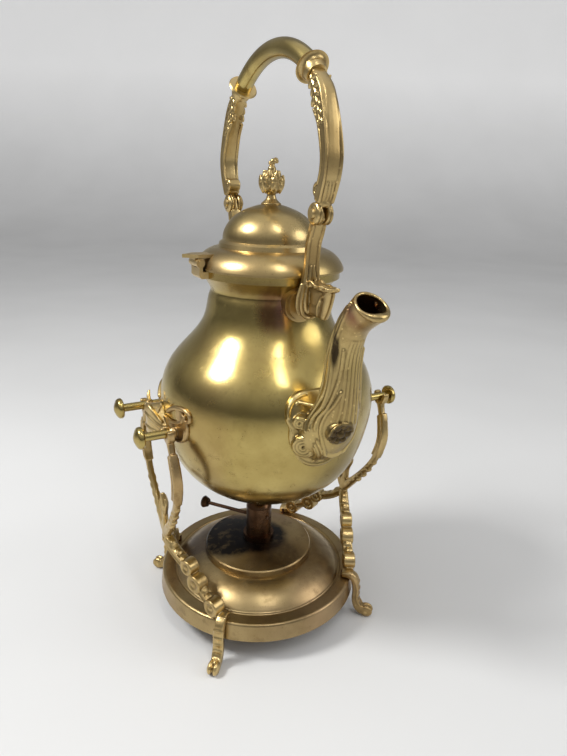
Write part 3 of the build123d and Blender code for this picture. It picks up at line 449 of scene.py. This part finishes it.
def make_fork(side, side_name):
    """One cradle frame: two bowed arms, a bud between them and two open cradles."""
    form = Casting(lambda u, v, w: (frame_middle(side, v) + side * w, SY - u, v))
    form.bar([(0, 71.3, 0, 4.4, 2.5), (0, 75, 0, 4.2, 2.5), (0, 79, 0, 4.6, 2.4), (0, 82, 0, 3.4, 2.3)])
    for ahead in (1, -1):
        def way(points):
            return [(ahead * point[0], *point[1:]) for point in points]

        form.bar(way([
            (2.6, 76, 0, 3.6, 2.4), (7.5, 81.5, 0, 3.3, 2.4), (13, 87.5, 0, 2.9, 2.3),
            (22.2, 98.8, 0, 2.5, 2.2), (29.4, 109.5, 0, 2.5, 2.2), (32.6, 116.5, 0, 2.7, 2.3),
        ]))
        form.bar(way([
            (32.2, 115.2, 0, 3.2, 2.5), (34.2, 122, 0, 3.3, 2.5), (34.8, 133, 0, 3.2, 2.5),
            (32.6, 142, 0, 3.2, 2.5), (30.2, 147.2, 0, 3.3, 2.5),
        ]), power=6, cap=0.15)
        form.bar(way([(30.4, 146, 0, 2.3, 2.1), (27.6, 152, 0, 2.4, 2.2), (25.9, 156.2, 0, 3.2, 2.4)]))
        form.bar(way([
            (20.9, 162.3, 0, 1.5, 2.4), (20.8, 160, 0, 1.75, 2.4), (22.1, 156.8, 0, 1.75, 2.5),
            (25.5, 155.3, 0, 1.8, 2.5), (28.9, 156.8, 0, 1.75, 2.5), (30.2, 160, 0, 1.75, 2.4),
            (30.1, 162.3, 0, 1.5, 2.4),
        ]), power=4)
        for face in (-1, 1):
            for shift in (-2.3, 2.3):
                form.bead(way([
                    (32 + shift, 116.5, face * 2.3, 0.7), (34.3 + shift, 124, face * 2.4, 0.75),
                    (34.7 + shift, 133, face * 2.4, 0.75), (30.8 + shift, 145.5, face * 2.3, 0.7),
                ]))
            for index in range(7):
                height = 119 + 3.9 * index
                form.lobe(
                    (ahead * (33.4 + 1.6 * math.sin((height - 112) / 11)), height, face * 2.3),
                    (0.8, 1.2, 0.5),
                )
            for u, v, lean in (
                (10.5, 84.8, 48), (14.6, 89.6, 50), (18.6, 94.4, 52), (22.4, 99.2, 54), (26, 104.2, 56),
            ):
                form.lobe((ahead * u, v, face * 1.9), (1.2, 2.9, 0.9), -ahead * lean)
        for u, v in ((17.2, 88.4), (22.4, 94.6), (27.0, 101.2), (31.2, 108.6)):
            form.lobe((ahead * u, v, 0), (1.5, 2.4, 2.2), ahead * -40)
        form.bead(way([
            (1.6, 90, 0, 1.2), (3.8, 94.5, 0, 1.1), (5.4, 98.5, 0, 1.0), (4.4, 101.6, 0, 0.9),
        ]))
        form.lobe((ahead * 4.6, 79.5, 0), (2.4, 3.4, 2.5))
    form.bar([
        (0, 80, 0, 3.2, 2.2), (0, 89, 0, 2.4, 2.0), (0, 95.5, 0, 4.0, 2.4), (0, 101, 0, 2.4, 2.0),
        (0, 104.8, 0, 0.9, 1.0),
    ])
    form.bead([(0, 91, 2.0, 0.7), (0, 97, 2.5, 0.8), (0, 103, 1.6, 0.5)])
    form.bead([(0, 91, -2.0, 0.7), (0, 97, -2.5, 0.8), (0, 103, -1.6, 0.5)])
    form.pour(f"cast_fork_{side_name}", f"stand_fork_{side_name}")


def make_leg(side, ahead, name):
    """One leg: rolled scrolls over the plate, then a stepped strap over the rim to a double toe."""
    bearing = math.radians(45)
    groove = 72  # radius where the leg comes down on the plate's rim
    outward = Vector((side * math.cos(bearing), -ahead * math.sin(bearing), 0))
    start = Vector((frame_middle(side, BRAZE), SY, 0))
    crossing = Vector((0, SY, 0)) + outward * groove
    heading = (crossing - start).normalized()
    across = heading.cross(Vector((0, 0, 1)))
    form = Casting(lambda u, v, w: start + heading * u + across * w + Vector((0, 0, v)))
    form.bar([
        (1.2, 69.2, 0, 3.4, 3.3), (4.2, 67.6, 0, 3.5, 3.4), (9, 63.4, 0, 3.0, 3.1),
        (14, 60.6, 0, 2.6, 3.0), (20, 58.4, 0, 2.7, 3.0), (25, 55.6, 0, 3.2, 3.1),
        (27.5, 51, 0, 2.8, 3.0), (32, 47.2, 0, 3.0, 3.1), (38, 43.2, 0, 2.5, 3.0),
        (43, 40.6, 0, 2.6, 3.0), (48, 37.4, 0, 3.0, 3.1), (52.4, 33.2, 0, 2.6, 3.0),
        (56, 30.5, 0, 2.4, 3.0),
    ], power=4)
    form.roll((23.6, 57.6, 0), 5.6, 4.2)
    form.roll((31.2, 48.4, 0), 6.4, 4.5)
    form.roll((47.4, 38.0, 0), 6.0, 4.4)
    form.lobe((6.0, 68.4, 0), (3.4, 2.2, 3.5), -45)
    form.lobe((12.4, 63.6, 0), (3.0, 1.7, 3.3), -35)
    form.lobe((17.6, 61.2, 0), (2.4, 1.6, 3.2), -20)
    form.lobe((37.6, 46.0, 0), (3.2, 1.7, 3.3), -35)
    form.lobe((42.4, 43.0, 0), (2.4, 1.5, 3.2), -30)
    for face in (-1, 1):
        for rise in (-2.2, 2.2):
            form.bead([
                (3, 67.6 + rise, face * 3.1, 0.6), (9, 63.2 + rise, face * 3.1, 0.6),
                (19, 58.4 + rise, face * 3.1, 0.6),
            ])
            form.bead([
                (33, 46.6 + rise, face * 3.1, 0.6), (38.5, 43 + rise, face * 3.1, 0.6),
                (44, 40 + rise, face * 3.1, 0.6),
            ])
    axis = Vector((0, SY, 0))
    turned = outward.cross(Vector((0, 0, 1)))
    form.place = lambda u, v, w: axis + outward * u + turned * w + Vector((0, 0, v))
    form.bar([
        (67.0, 32.4, 0, 2.3, 3.3), (72, 33.0, 0, 2.7, 3.4), (76.2, 29.6, 0, 2.7, 3.5),
        (77.5, 21, 0, 2.5, 3.4), (77.6, 13, 0, 2.6, 3.4), (79.6, 7.2, 0, 3.0, 3.5),
        (83.4, 4.6, 0, 3.8, 3.5),
    ], power=4)
    for u, v, high in (
        (73.6, 34.2, 1.3), (78.6, 27.8, 1.3), (79.2, 22.4, 1.2), (79.2, 17.4, 1.2), (79.8, 12.2, 1.2),
    ):
        form.lobe((u, v, 0), (1.5, high, 3.8))
    for face in (-1, 1):
        form.bead([
            (75.6, 31.4, face * 3.0, 0.7), (78.6, 24, face * 3.1, 0.7), (79.0, 14, face * 3.1, 0.7),
            (82, 8.6, face * 2.8, 0.7),
        ])
        form.lobe((86.2, 4.5, face * 1.95), (5.0, 4.5, 2.15))
    form.pour(f"cast_leg_{name}", f"leg_{name}", low=0)


for side_name, side in (("left", -1), ("right", 1)):
    make_fork(side, side_name)
    for end_name, ahead in (("front", 1), ("rear", -1)):
        make_leg(side, ahead, f"{end_name}_{side_name}")


# --- Handle limbs and arms ----------------------------------------------------------------
def make_limb(ahead, name):
    """One side of the handle: a beaded channel with leaves under the collar and a ribbed knee."""
    form = Casting(lambda u, v, w: (w, KY - ahead * u, v))
    form.bar([
        (44.4, 360.6, 0, 3.5, 4.1), (47.2, 358.0, 0, 3.7, 4.2), (50.8, 354.2, 0, 4.6, 4.2),
        (56, 347.5, 0, 5.4, 4.4), (61.2, 337, 0, 3.9, 4.8), (64.4, 326.5, 0, 2.8, 5.1),
        (66, 318.5, 0, 2.3, 5.2), (65.2, 310.5, 0, 2.4, 5.0), (62, 302.5, 0, 2.9, 4.8),
        (59.6, 297.4, 0, 3.3, 4.6),
    ], power=4)
    front = [
        (51.2, 357.8, 3.6), (57.6, 351.4, 3.9), (62.6, 340.6, 4.3), (66.4, 329, 4.6), (68.2, 319, 4.8),
        (67.4, 309.6, 4.6), (64.6, 301.2, 4.4), (62.6, 296.6, 4.2),
    ]
    back = [
        (52.6, 341, 3.9), (58.2, 334.2, 4.4), (61.8, 325.8, 4.8), (63.8, 318, 4.9), (63.2, 311.4, 4.8),
        (61, 306, 4.4),
    ]
    for face in (-1, 1):
        form.bead([(u, v, face * w, 0.85) for u, v, w in front])
        form.bead([(u, v, face * w, 0.8) for u, v, w in back])
        # Acanthus: two rows of lobes and a tip on each flank.
        for index in range(6):
            share = index / 5
            u, v = 50.2 + 10.4 * share**0.9, 354.6 - 20.5 * share
            size = 1.0 - 0.32 * share
            form.lobe(
                (u + 2.2 * size, v + 1.6 * size, face * (4.1 + 0.5 * share)),
                (2.7 * size, 1.1 * size, 0.9), 20 - 70 * share,
            )
            form.lobe(
                (u - 2.0 * size, v - 1.4 * size, face * (4.1 + 0.5 * share)),
                (2.7 * size, 1.1 * size, 0.9), 70 + 40 * share,
            )
        form.bead([
            (48.2, 356.8, face * 4.0, 0.8), (54.6, 347.8, face * 4.4, 0.8),
            (60.4, 334.6, face * 4.9, 0.7),
        ])
        form.lobe((51.2, 345.6, face * 3.0), (1.4, 4.0, 1.5), -28)
        form.spiral((59.2, 302.6, face * 3.9), 3.4, 0.8, 1.4, 0.7, 40)
    form.roll((59.2, 302.6, 0), 4.3, 4.2)
    for w in (-2.0, 0.0, 2.0):
        form.bead([(66.2, 306.6, w, 0.7), (64.8, 301.6, w, 0.8), (63.0, 298.0, w, 0.8)])
    # Knee: a ribbed roll split by the arm's tongue.
    for w in (-4.1, -2.4, 2.4, 4.1):
        form.drum((*KNEE, w), [(-0.95, 4.2), (-0.8, 5.3), (0, 6.1), (0.8, 5.3), (0.95, 4.2)])
    for face in (-1, 1):
        form.drum((*KNEE, face * 3.3), [(-1.7, 3.0), (-1.6, 5.2), (1.6, 5.2), (1.7, 3.0)])
        form.spiral((*KNEE, face * 4.9), 4.4, 3.3, 0.9, 0.65, 120)
    form.lobe((60.6, 296.0, 0), (2.6, 2.6, 4.4), 30)
    form.pour(f"cast_limb_{name}", f"handle_limb_{name}")


def make_arm(ahead, name):
    """One arm: a beaded strap down to a volute on the boss, with a leaf and its prop ahead."""
    form = Casting(lambda u, v, w: (w, KY - ahead * u, v))
    form.bar([
        (55.2, 285.6, 0, 2.7, 3.8), (53.4, 280.6, 0, 2.5, 3.9), (51.2, 274.6, 0, 2.2, 3.9),
        (50.2, 264, 0, 2.1, 3.9), (49.8, 256, 0, 2.5, 4.4), (49, 247.6, 0, 3.4, 5.6),
        (48.7, 240.2, 0, 3.8, 6.4), (48.6, 234.6, 0, 3.0, 5.4),
    ], power=4)
    form.bar([(55.2, 286.4, 0, 3.2, 1.55), (*KNEE, 0, 5.0, 1.55), (58.4, 291, 0, 4.8, 1.55)], power=3)
    for face in (-1, 1):
        form.bead([
            (57.4, 284.2, face * 3.5, 0.8), (55.6, 279.8, face * 3.6, 0.9),
            (53.2, 273.6, face * 3.6, 0.9), (52.2, 264, face * 3.6, 0.95),
            (52.2, 256, face * 4.1, 1.05), (52.2, 249, face * 5.2, 1.15), (52.2, 241, face * 6.0, 1.15),
            (51.8, 234.6, face * 4.4, 1.1), (51.4, 232.6, face * 0.6, 1.1),
        ])
        form.bead([
            (52.2, 262, face * 1.0, 0.6), (52.6, 255, face * 1.9, 0.9), (53.2, 249, face * 3.4, 1.0),
            (53.4, 242, face * 4.0, 1.0), (53.0, 236.8, face * 2.7, 1.0),
            (52.8, 235.2, face * 0.4, 0.9),
        ])
        form.bead([
            (52.6, 251.6, face * 0.3, 0.6), (53.3, 247.4, face * 2.0, 0.75),
            (53.4, 242.4, face * 2.4, 0.75), (53.1, 239.0, face * 1.2, 0.75),
            (53.1, 238.4, face * 0.2, 0.7),
        ])
        form.bead([
            (49.5, 251.6, face * 5.2, 0.7), (48.0, 245, face * 6.3, 0.8),
            (47.4, 238.5, face * 6.2, 0.8), (49, 234.4, face * 5.4, 0.7),
        ])
    form.lobe((53.0, 243.6, 0), (0.9, 2.0, 0.9))
    # The leaf ahead of the arm, dished between raised edges, over its prop.
    form.bar([
        (50.4, 251.0, 0, 1.6, 4.0), (56, 252.9, 0, 1.4, 3.8), (64, 251.8, 0, 1.2, 3.4),
        (72, 251.4, 0, 1.0, 2.6), (77, 252.4, 0, 0.8, 1.4), (80, 253.4, 0, 0.6, 0.7),
    ])
    for face in (-1, 1):
        form.bead([
            (52, 252.8, face * 3.6, 0.9), (57, 254.6, face * 3.5, 1.0), (62, 252.8, face * 3.3, 0.9),
            (67, 253.4, face * 2.9, 0.9), (73, 252.6, face * 2.1, 0.8), (79.4, 253.9, face * 0.4, 0.6),
        ])
        for u in (57, 62, 67, 72):
            form.lobe((u, 252.6, face * (3.6 - (u - 57) * 0.06)), (1.3, 1.4, 1.2), 25)
    form.bead([(53, 253.4, 0, 0.6), (64, 253.4, 0, 0.7), (76, 252.9, 0, 0.6)])
    form.bar([
        (71.0, 250.8, 0, 4.2, 2.6), (70.0, 246, 0, 3.8, 2.5), (68.4, 240.6, 0, 3.3, 2.5),
        (66.6, 236.6, 0, 2.8, 2.4),
    ], power=2.4, cap=0.4)
    form.bar(
        [
            (52, 246, 0, 5.6, 2.3), (60, 245.4, 0, 6.2, 2.0), (67, 245.4, 0, 5.8, 1.7),
            (70, 246, 0, 4.6, 1.7),
        ],
        cap=0.1,
    )
    form.bar([(52, 239, 0, 3.6, 2.6), (59, 238.8, 0, 3.8, 2.3), (66, 238.4, 0, 3.2, 2.2)], cap=0.1)
    for face in (-1, 1):
        form.bead([
            (70, 249, face * 2.0, 0.7), (65.6, 246.6, face * 2.1, 0.7), (62.6, 241, face * 2.1, 0.7),
            (62.6, 236.8, face * 2.0, 0.7),
        ])
    form.pour(f"cast_arm_{name}", f"handle_arm_{name}")


for end_name, ahead in (("front", 1), ("rear", -1)):
    make_limb(ahead, end_name)
    make_arm(ahead, end_name)


# --- Finial -----------------------------------------------------------------------------------
def make_finial():
    """A flared foot, an opening cluster of leaves with curled tips, and a bud bent to one side."""
    form = Casting(lambda u, v, w: (u, KY + w, FINIAL_BASE + v))
    upright = (0, 1, 0)
    leaves = 6
    form.drum(
        (0, 0, 0),
        [
            (-5.6, 1.7), (-0.9, 1.8), (-0.85, 6.0), (0.4, 6.3), (1.4, 5.0), (3.0, 3.4), (6.0, 2.4),
            (9, 3.4),
        ],
        upright,
    )
    form.drum(
        (0, 0, 0), [(5.6, 2.8), (8, 4.8), (11, 6.0), (14, 5.9), (17, 4.6), (19.6, 2.6), (21.6, 1.4)],
        upright,
    )
    for k in range(leaves):
        a = math.tau * k / leaves + 0.35
        c, s = math.cos(a), math.sin(a)
        form.lobe((4.6 * c, 10.6, 4.6 * s), (2.7, 4.2, 2.7))
        form.lobe((5.3 * c, 13.6, 5.3 * s), (2.4, 2.6, 2.4))
        form.bead([
            (5.2 * c, 6.6, 5.2 * s, 0.6), (7.0 * c, 10.0, 7.0 * s, 0.7), (7.5 * c, 13.4, 7.5 * s, 0.75),
            (6.9 * c, 16.2, 6.9 * s, 0.9),
        ])
    for k in range(leaves):
        a = math.tau * (k + 0.5) / leaves + 0.35
        c, s = math.cos(a), math.sin(a)
        form.lobe((3.9 * c, 15.8, 3.9 * s), (2.0, 3.2, 2.0))
        form.bead([
            (5.2 * c, 12.6, 5.2 * s, 0.6), (5.6 * c, 15.6, 5.6 * s, 0.7), (4.6 * c, 18.8, 4.6 * s, 0.9),
        ])
    form.lobe((0, 20.2, 0), (2.6, 2.2, 2.6))
    for x, high, radius in (
        (0.2, 21.8, 1.7), (-0.9, 23.6, 1.5), (0.9, 24.6, 1.9), (2.4, 25.3, 1.7), (3.1, 24.6, 1.3),
    ):
        form.lobe((x, high, 0), (radius, radius * 0.95, radius * 0.95))
    form.pour("cast_finial", "finial", voxel=0.25)


make_finial()


# --- Spout ------------------------------------------------------------------------------------
def make_spout():
    """The spout with carved ribs, a scrolled shield on the belly, a rosette and a rolled lip."""
    shell = surface("spout")
    form = Casting(lambda u, v, w: (w, KY - u, v))
    form.copy("spout")
    reach, turn = 18, math.radians(12)

    def lift(u, v, w):
        """Turn the last reach of the tube up a little, towards a flatter and narrower mouth."""
        a, b = u - MOUTH[0], v - MOUTH[1]
        along = a * math.cos(MOUTH_FACING) + b * math.sin(MOUTH_FACING)
        share = min(1, max(0, 1 + along / reach))
        share *= share * (3 - 2 * share)
        c, s = math.cos(turn * share), math.sin(turn * share)
        narrow = 1 - 0.08 * share
        return (
            MOUTH[0] + (a * c - b * s) * narrow - 1.3 * share,
            MOUTH[1] + (a * s + b * c) * narrow + 0.3 * share,
            w * narrow,
        )

    for vertex in form.mesh.verts:
        u, v, w = lift(KY - vertex.co.y, vertex.co.z, vertex.co.x)
        vertex.co = (w, KY - u, v)

    def rib(points, radius, sink=0.15, mirrored=(-1, 1), steps=6):
        """Bead laid on the surface through (x, forward, height), on both flanks."""
        for way in mirrored:
            path = []
            for x, u, v in smooth(points, steps):
                place, normal, _, _ = shell.find_nearest((-way * x * MM, (KY - u) * MM, v * MM))
                spot = (place - normal * sink * radius * MM) / MM
                path.append((*lift(KY - spot.y, spot.z, spot.x), radius))
            form.bead(path, 1)

    def boss(x, u, v, across, turns, radius):
        """Low round boss on each flank of the shield, with a spiral rib wound on its face."""
        for way in (-1, 1):
            centre = Vector((u, v, way * x))
            face = Vector((0.8, -0.12, way * 0.6)).normalized()
            aside = face.cross(Vector((0, 1, 0))).normalized()
            above = aside.cross(face)
            form.drum(centre, [(-5, across), (-0.5, across), (0, across - 0.5)], face)
            points = []
            for k in range(int(16 * turns) + 1):
                share = k / (16 * turns)
                arm = (across - 0.5) * (1 - 0.86 * share)
                angle = math.tau * turns * share
                spot = centre + face * 0.15 + (aside * math.cos(angle) + above * math.sin(angle)) * arm
                points.append((*spot, radius))
            form.bead(points, 1)

    rib([
        (-9.5, 67, 192.8), (-15, 67, 191.2), (-19.2, 67.5, 187.6), (-20.8, 68, 183), (-20.4, 69, 177),
        (-20.4, 69.5, 170), (-19.2, 70, 163), (-16, 70.5, 157), (-11, 71, 152.4), (-5, 71.2, 149.6),
        (0, 71.3, 149),
    ], 0.8)
    flows = [
        [
            (-7.4, 99, 250.4), (-7.6, 92.5, 240), (-7.6, 87, 230), (-8, 84.5, 222), (-8.8, 84, 212),
            (-9.8, 83, 203), (-12.4, 78, 195.6), (-16.4, 72, 190),
        ],
        [
            (-8.1, 101.9, 252.2), (-8.4, 96.5, 243.2), (-8.3, 91.2, 233.2), (-8.7, 88.9, 224.7),
            (-9.3, 88.9, 213.9), (-10.2, 87.6, 202), (-12, 82, 193), (-14.6, 77, 186),
            (-15.2, 76.4, 180), (-14.4, 77.8, 174.6), (-12.4, 81.2, 170.4), (-11, 82.6, 165),
            (-9, 81, 159), (-5, 72.6, 152),
        ],
        [
            (-7.8, 103.4, 252.6), (-8.5, 98.4, 243), (-8.3, 93.6, 233), (-8.6, 91.2, 224),
            (-9, 90.8, 214), (-9.9, 90, 203), (-11.2, 87.3, 193), (-13, 81.8, 186), (-13.9, 80.2, 179),
            (-12.6, 83, 172), (-10.4, 84, 165), (-7.6, 80.6, 158.6), (-3.6, 73.6, 151.6),
        ],
        [
            (-6.4, 97.0, 226), (-6.9, 96.2, 214), (-8.3, 93.6, 202), (-10.3, 90.7, 193), (-12, 86, 186),
            (-12.8, 84.4, 179), (-11.4, 85.6, 171.6), (-8.6, 85.2, 164.4), (-5.6, 80.6, 157.6),
            (-2, 74.4, 151.4),
        ],
        [
            (-5.6, 96.2, 203), (-7.9, 94, 196), (-10.4, 90.4, 189), (-11.6, 88, 181), (-10.2, 88, 172),
            (-6.8, 86.2, 164), (-3.6, 81, 157), (-0.8, 75, 151),
        ],
    ]
    for points in flows:
        rib(points, 1.0, 0.0)
    for x in (-4.4, -2.2):
        rib(
            [
                (x * 0.8, 101, 231), (x, 98.5, 222), (x * 1.1, 98, 208), (x * 1.3, 97.6, 194),
                (x * 1.5, 95, 183),
            ],
            0.75,
        )
    rib([(0, 101, 234), (0, 99, 222), (0, 98.4, 208), (0, 98, 194), (0, 96, 182)], 0.8, mirrored=(1,))
    boss(16.2, 73.4, 178.4, 4.6, 2.0, 0.75)
    boss(14.9, 76.4, 164.8, 7.2, 2.9, 0.85)
    # Rosette: a dished flower under a leaf edge.
    tilt = math.radians(17)
    axis = Vector((math.cos(tilt), -math.sin(tilt), 0))
    rise = Vector((math.sin(tilt), math.cos(tilt), 0))
    centre = Vector((94.4, 178.6, -3))
    form.drum(centre, [(-4, 7.4), (-0.6, 7.4), (0.2, 6.6)], axis)
    for k in range(8):
        a = math.tau * k / 8 + 0.2
        spot = centre + axis * 0.2 + rise * (5.2 * math.cos(a)) + Vector((0, 0, 5.2 * math.sin(a)))
        form.lobe(spot, (1.2, 1.9, 1.9))
    form.lobe(centre + axis * 0.3, (1.7, 2.6, 2.6))
    edge = []
    for degrees in range(-85, 86, 17):
        a = math.radians(degrees)
        spot = centre + axis * 0.4 + rise * (7.0 * math.cos(a)) + Vector((0, 0, 7.4 * math.sin(a)))
        edge.append((*spot, 0.9))
    form.bead(edge, 2)
    # Rolled rim of the mouth, broadest at the lip.
    slope = MOUTH_FACING + turn
    down = Vector((math.sin(slope), -math.cos(slope), 0))
    mouth = Vector(lift(*MOUTH, 0)) - Vector((math.cos(slope), math.sin(slope), 0)) * 0.75
    rim = []
    for k in range(37):
        a = math.tau * k / 36
        lip = max(0, math.cos(a)) ** 2
        radius = 0.9 + 1.5 * lip
        aside = Vector((0, 0, (9.2 - radius * 0.9) * math.sin(a)))
        rim.append((*(mouth + down * ((10.2 - radius * 0.95) * math.cos(a)) + aside), radius))
    form.bead(rim, 1, closed=True)
    form.pour("cast_spout", "spout", soften=3, look=spout_brass)


make_spout()


# --- Peg brackets -------------------------------------------------------------------------------
def make_bracket(side, name):
    """A leafy casting on the belly between two pegs."""
    node = f"peg_bracket_{name}"
    shell = surface(node)
    belly = surface("kettle_body")
    form = Casting(lambda u, v, w: (side * w, SY - u, v))
    form.copy(node)

    def scroll(points):
        """Bead that leaves the casting and runs on over the belly."""
        path = []
        for u, v, w, radius in smooth(points, 4):
            place, normal, _, _ = belly.find_nearest((side * w * MM, (SY - u) * MM, v * MM))
            spot = place / MM + normal * 0.3 * radius
            path.append((SY - spot.y, spot.z, side * spot.x, radius))
        form.bead(path, 1)

    for ahead in (1, -1):
        for points, radius in (
            ([(0, 172, 79.6), (4, 170.4, 79.4), (9, 168, 78), (13.5, 163.6, 75)], 1.1),
            ([(0, 164, 80.4), (5, 163, 80), (10, 160.6, 78), (14, 157.6, 75)], 1.1),
            ([(0, 156, 80.2), (4, 155.6, 80), (9, 154.8, 78), (12.6, 153.4, 76)], 1.0),
            ([(20, 165, 73), (27, 166, 71), (32, 169, 69), (30, 174, 68)], 0.9),
            ([(20, 155, 73), (27, 154.6, 71), (33, 157, 69), (34.4, 163, 68)], 0.9),
        ):
            path = []
            for u, v, w in smooth(points, 5):
                place, normal, _, _ = shell.find_nearest((side * w * MM, (SY - ahead * u) * MM, v * MM))
                spot = (place - normal * 0.2 * radius * MM) / MM
                path.append((SY - spot.y, spot.z, side * spot.x, radius))
            form.bead(path, 1)
        form.drum((ahead * PEG[0], PEG[1], 71.6), [(-1.5, 3.2), (0, 3.9), (1.6, 3.4), (3.0, 2.4)])
        scroll([
            (ahead * 15, 170, 74.5, 1.6), (ahead * 20, 173.2, 71.6, 1.6),
            (ahead * 25, 175.3, 69.0, 1.5), (ahead * 32.7, 176.2, 66.6, 1.4),
            (ahead * 37, 174.1, 64.9, 1.3), (ahead * 37.2, 170.4, 65.2, 1.2),
            (ahead * 34.4, 169.4, 66.6, 1.0),
        ])
        scroll([
            (ahead * 24, 165, 72, 1.4), (ahead * 31, 168.2, 68.6, 1.2), (ahead * 33.2, 172.2, 67.0, 1.1),
        ])
        form.bead([
            (ahead * 10, 169, 76.4, 1.4), (ahead * 12, 172, 76, 1.2), (ahead * 13.6, 174.4, 75, 0.7),
        ])
        form.lobe((ahead * 14.2, 156, 75.4), (2.6, 1.8, 1.5), ahead * -30)
    form.pour(f"cast_bracket_{name}", node)


make_bracket(-1, "left")
make_bracket(1, "right")


# --- Floor, backdrop, light and camera --------------------------------------------------
def studio():
    """A pale floor that curves up into a backdrop, with soft lamps and a world lighter overhead."""
    depth, radius = 2.2, 1.2
    profile = [(-6, 0)]
    for degrees in range(0, 91, 10):
        a = math.radians(degrees)
        profile.append((depth + radius * math.sin(a), radius - radius * math.cos(a)))
    profile.append((depth + radius, 5))
    mesh = bpy.data.meshes.new("backdrop")
    sheet = bmesh.new()
    rows = [[sheet.verts.new((x, y, z)) for y, z in profile] for x in (-7, 7)]
    for a, b, c, d in zip(rows[0], rows[0][1:], rows[1][1:], rows[1]):
        sheet.faces.new((a, b, c, d))
    sheet.normal_update()
    sheet.to_mesh(mesh)
    sheet.free()
    mesh.polygons.foreach_set("use_smooth", [True] * len(mesh.polygons))
    floor = bpy.data.objects.new("backdrop", mesh)
    bpy.context.collection.objects.link(floor)
    floor.rotation_euler[2] = math.radians(-28.7)
    paper = Shader("backdrop_paper", Roughness=0.8)
    paper.set(
        "Base Color",
        paper.ramp(paper.noise(3, 2), [(0.3, (0.70, 0.70, 0.69)), (0.7, (0.75, 0.75, 0.74))]),
    )
    height = paper.node("ShaderNodeSeparateXYZ", {0: paper.place}).outputs[2]
    seen = paper.node("ShaderNodeLightPath").outputs["Is Camera Ray"]
    glow = paper.math("MULTIPLY", paper.ramp(height, [(0.02, 0.0), (0.9, 0.42)]), seen)
    paper.shader.inputs["Emission Color"].default_value = (0.9, 0.9, 0.9, 1)
    paper.set("Emission Strength", glow)
    mesh.materials.append(paper.material)

    world = bpy.data.worlds.new("studio")
    bpy.context.scene.world = world
    world.use_nodes = True
    tree = world.node_tree
    direction = tree.nodes.new("ShaderNodeTexCoord").outputs["Generated"]
    split = tree.nodes.new("ShaderNodeSeparateXYZ")
    sky = tree.nodes.new("ShaderNodeValToRGB")
    tree.links.new(direction, split.inputs[0])
    tree.links.new(split.outputs["Z"], sky.inputs["Fac"])
    seen = tree.nodes.new("ShaderNodeLightPath").outputs["Is Camera Ray"]
    shown = tree.nodes.new("ShaderNodeMix")
    shown.data_type = "RGBA"
    shown.inputs[7].default_value = (0.72, 0.72, 0.72, 1)
    tree.links.new(seen, shown.inputs[0])
    tree.links.new(sky.outputs["Color"], shown.inputs[6])
    tree.links.new(shown.outputs[2], tree.nodes["Background"].inputs[0])
    sky.color_ramp.elements[0].position = 0.1
    sky.color_ramp.elements[0].color = (0.12, 0.12, 0.125, 1)
    sky.color_ramp.elements[1].position = 0.95
    sky.color_ramp.elements[1].color = (0.75, 0.75, 0.76, 1)

    lamps = [
        ("key_lamp", (-0.72, 0.16, 1.02), 0.3, 0.3, 9),
        ("top_lamp", (-0.03, -0.52, 1.14), 0.05, 0.5, 1.6),
        ("fill_lamp", (1.0, -0.7, 0.8), 0.8, 0.8, 4),
    ]
    for name, place, width, height, power in lamps:
        lamp = bpy.data.lights.new(name, "AREA")
        lamp.shape = "ELLIPSE"
        lamp.size = width
        lamp.size_y = height
        lamp.energy = power
        light = bpy.data.objects.new(name, lamp)
        light.location = place
        aim = Vector((0, 0, 0.2)) - Vector(place)
        light.rotation_euler = aim.to_track_quat("-Z", "Y").to_euler()
        bpy.context.collection.objects.link(light)


studio()


def photo_camera():
    """The photograph's viewpoint, fitted to the turned circles of the plate, lid and rim."""
    swing, pan, pitch, roll = math.radians(26.4), 0.041, 0.332, 0.033
    look = Vector((math.sin(pan) * math.cos(pitch), math.cos(pan) * math.cos(pitch), -math.sin(pitch)))
    right = Vector((math.cos(pan), -math.sin(pan), 0))
    up = right.cross(look)
    rolled = math.cos(roll) * right + math.sin(roll) * up
    upright = -math.sin(roll) * right + math.cos(roll) * up
    turn = Matrix.Rotation(-swing, 3, "Z")
    axes = [turn @ axis for axis in (rolled, upright, -look)]
    data = bpy.data.cameras.new("photo_camera")
    data.sensor_fit = "VERTICAL"
    data.sensor_height = 36
    data.lens = 36 * 568 / 756
    data.clip_start = 0.01
    camera = bpy.data.objects.new("photo_camera", data)
    camera.matrix_world = (
        Matrix.Translation((-165.4 * MM, SY * MM - 333.1 * MM, 305.8 * MM))
        @ Matrix(axes).transposed().to_4x4()
    )
    bpy.context.collection.objects.link(camera)
    bpy.context.scene.camera = camera


photo_camera()

bpy.context.scene.view_settings.view_transform = "Standard"
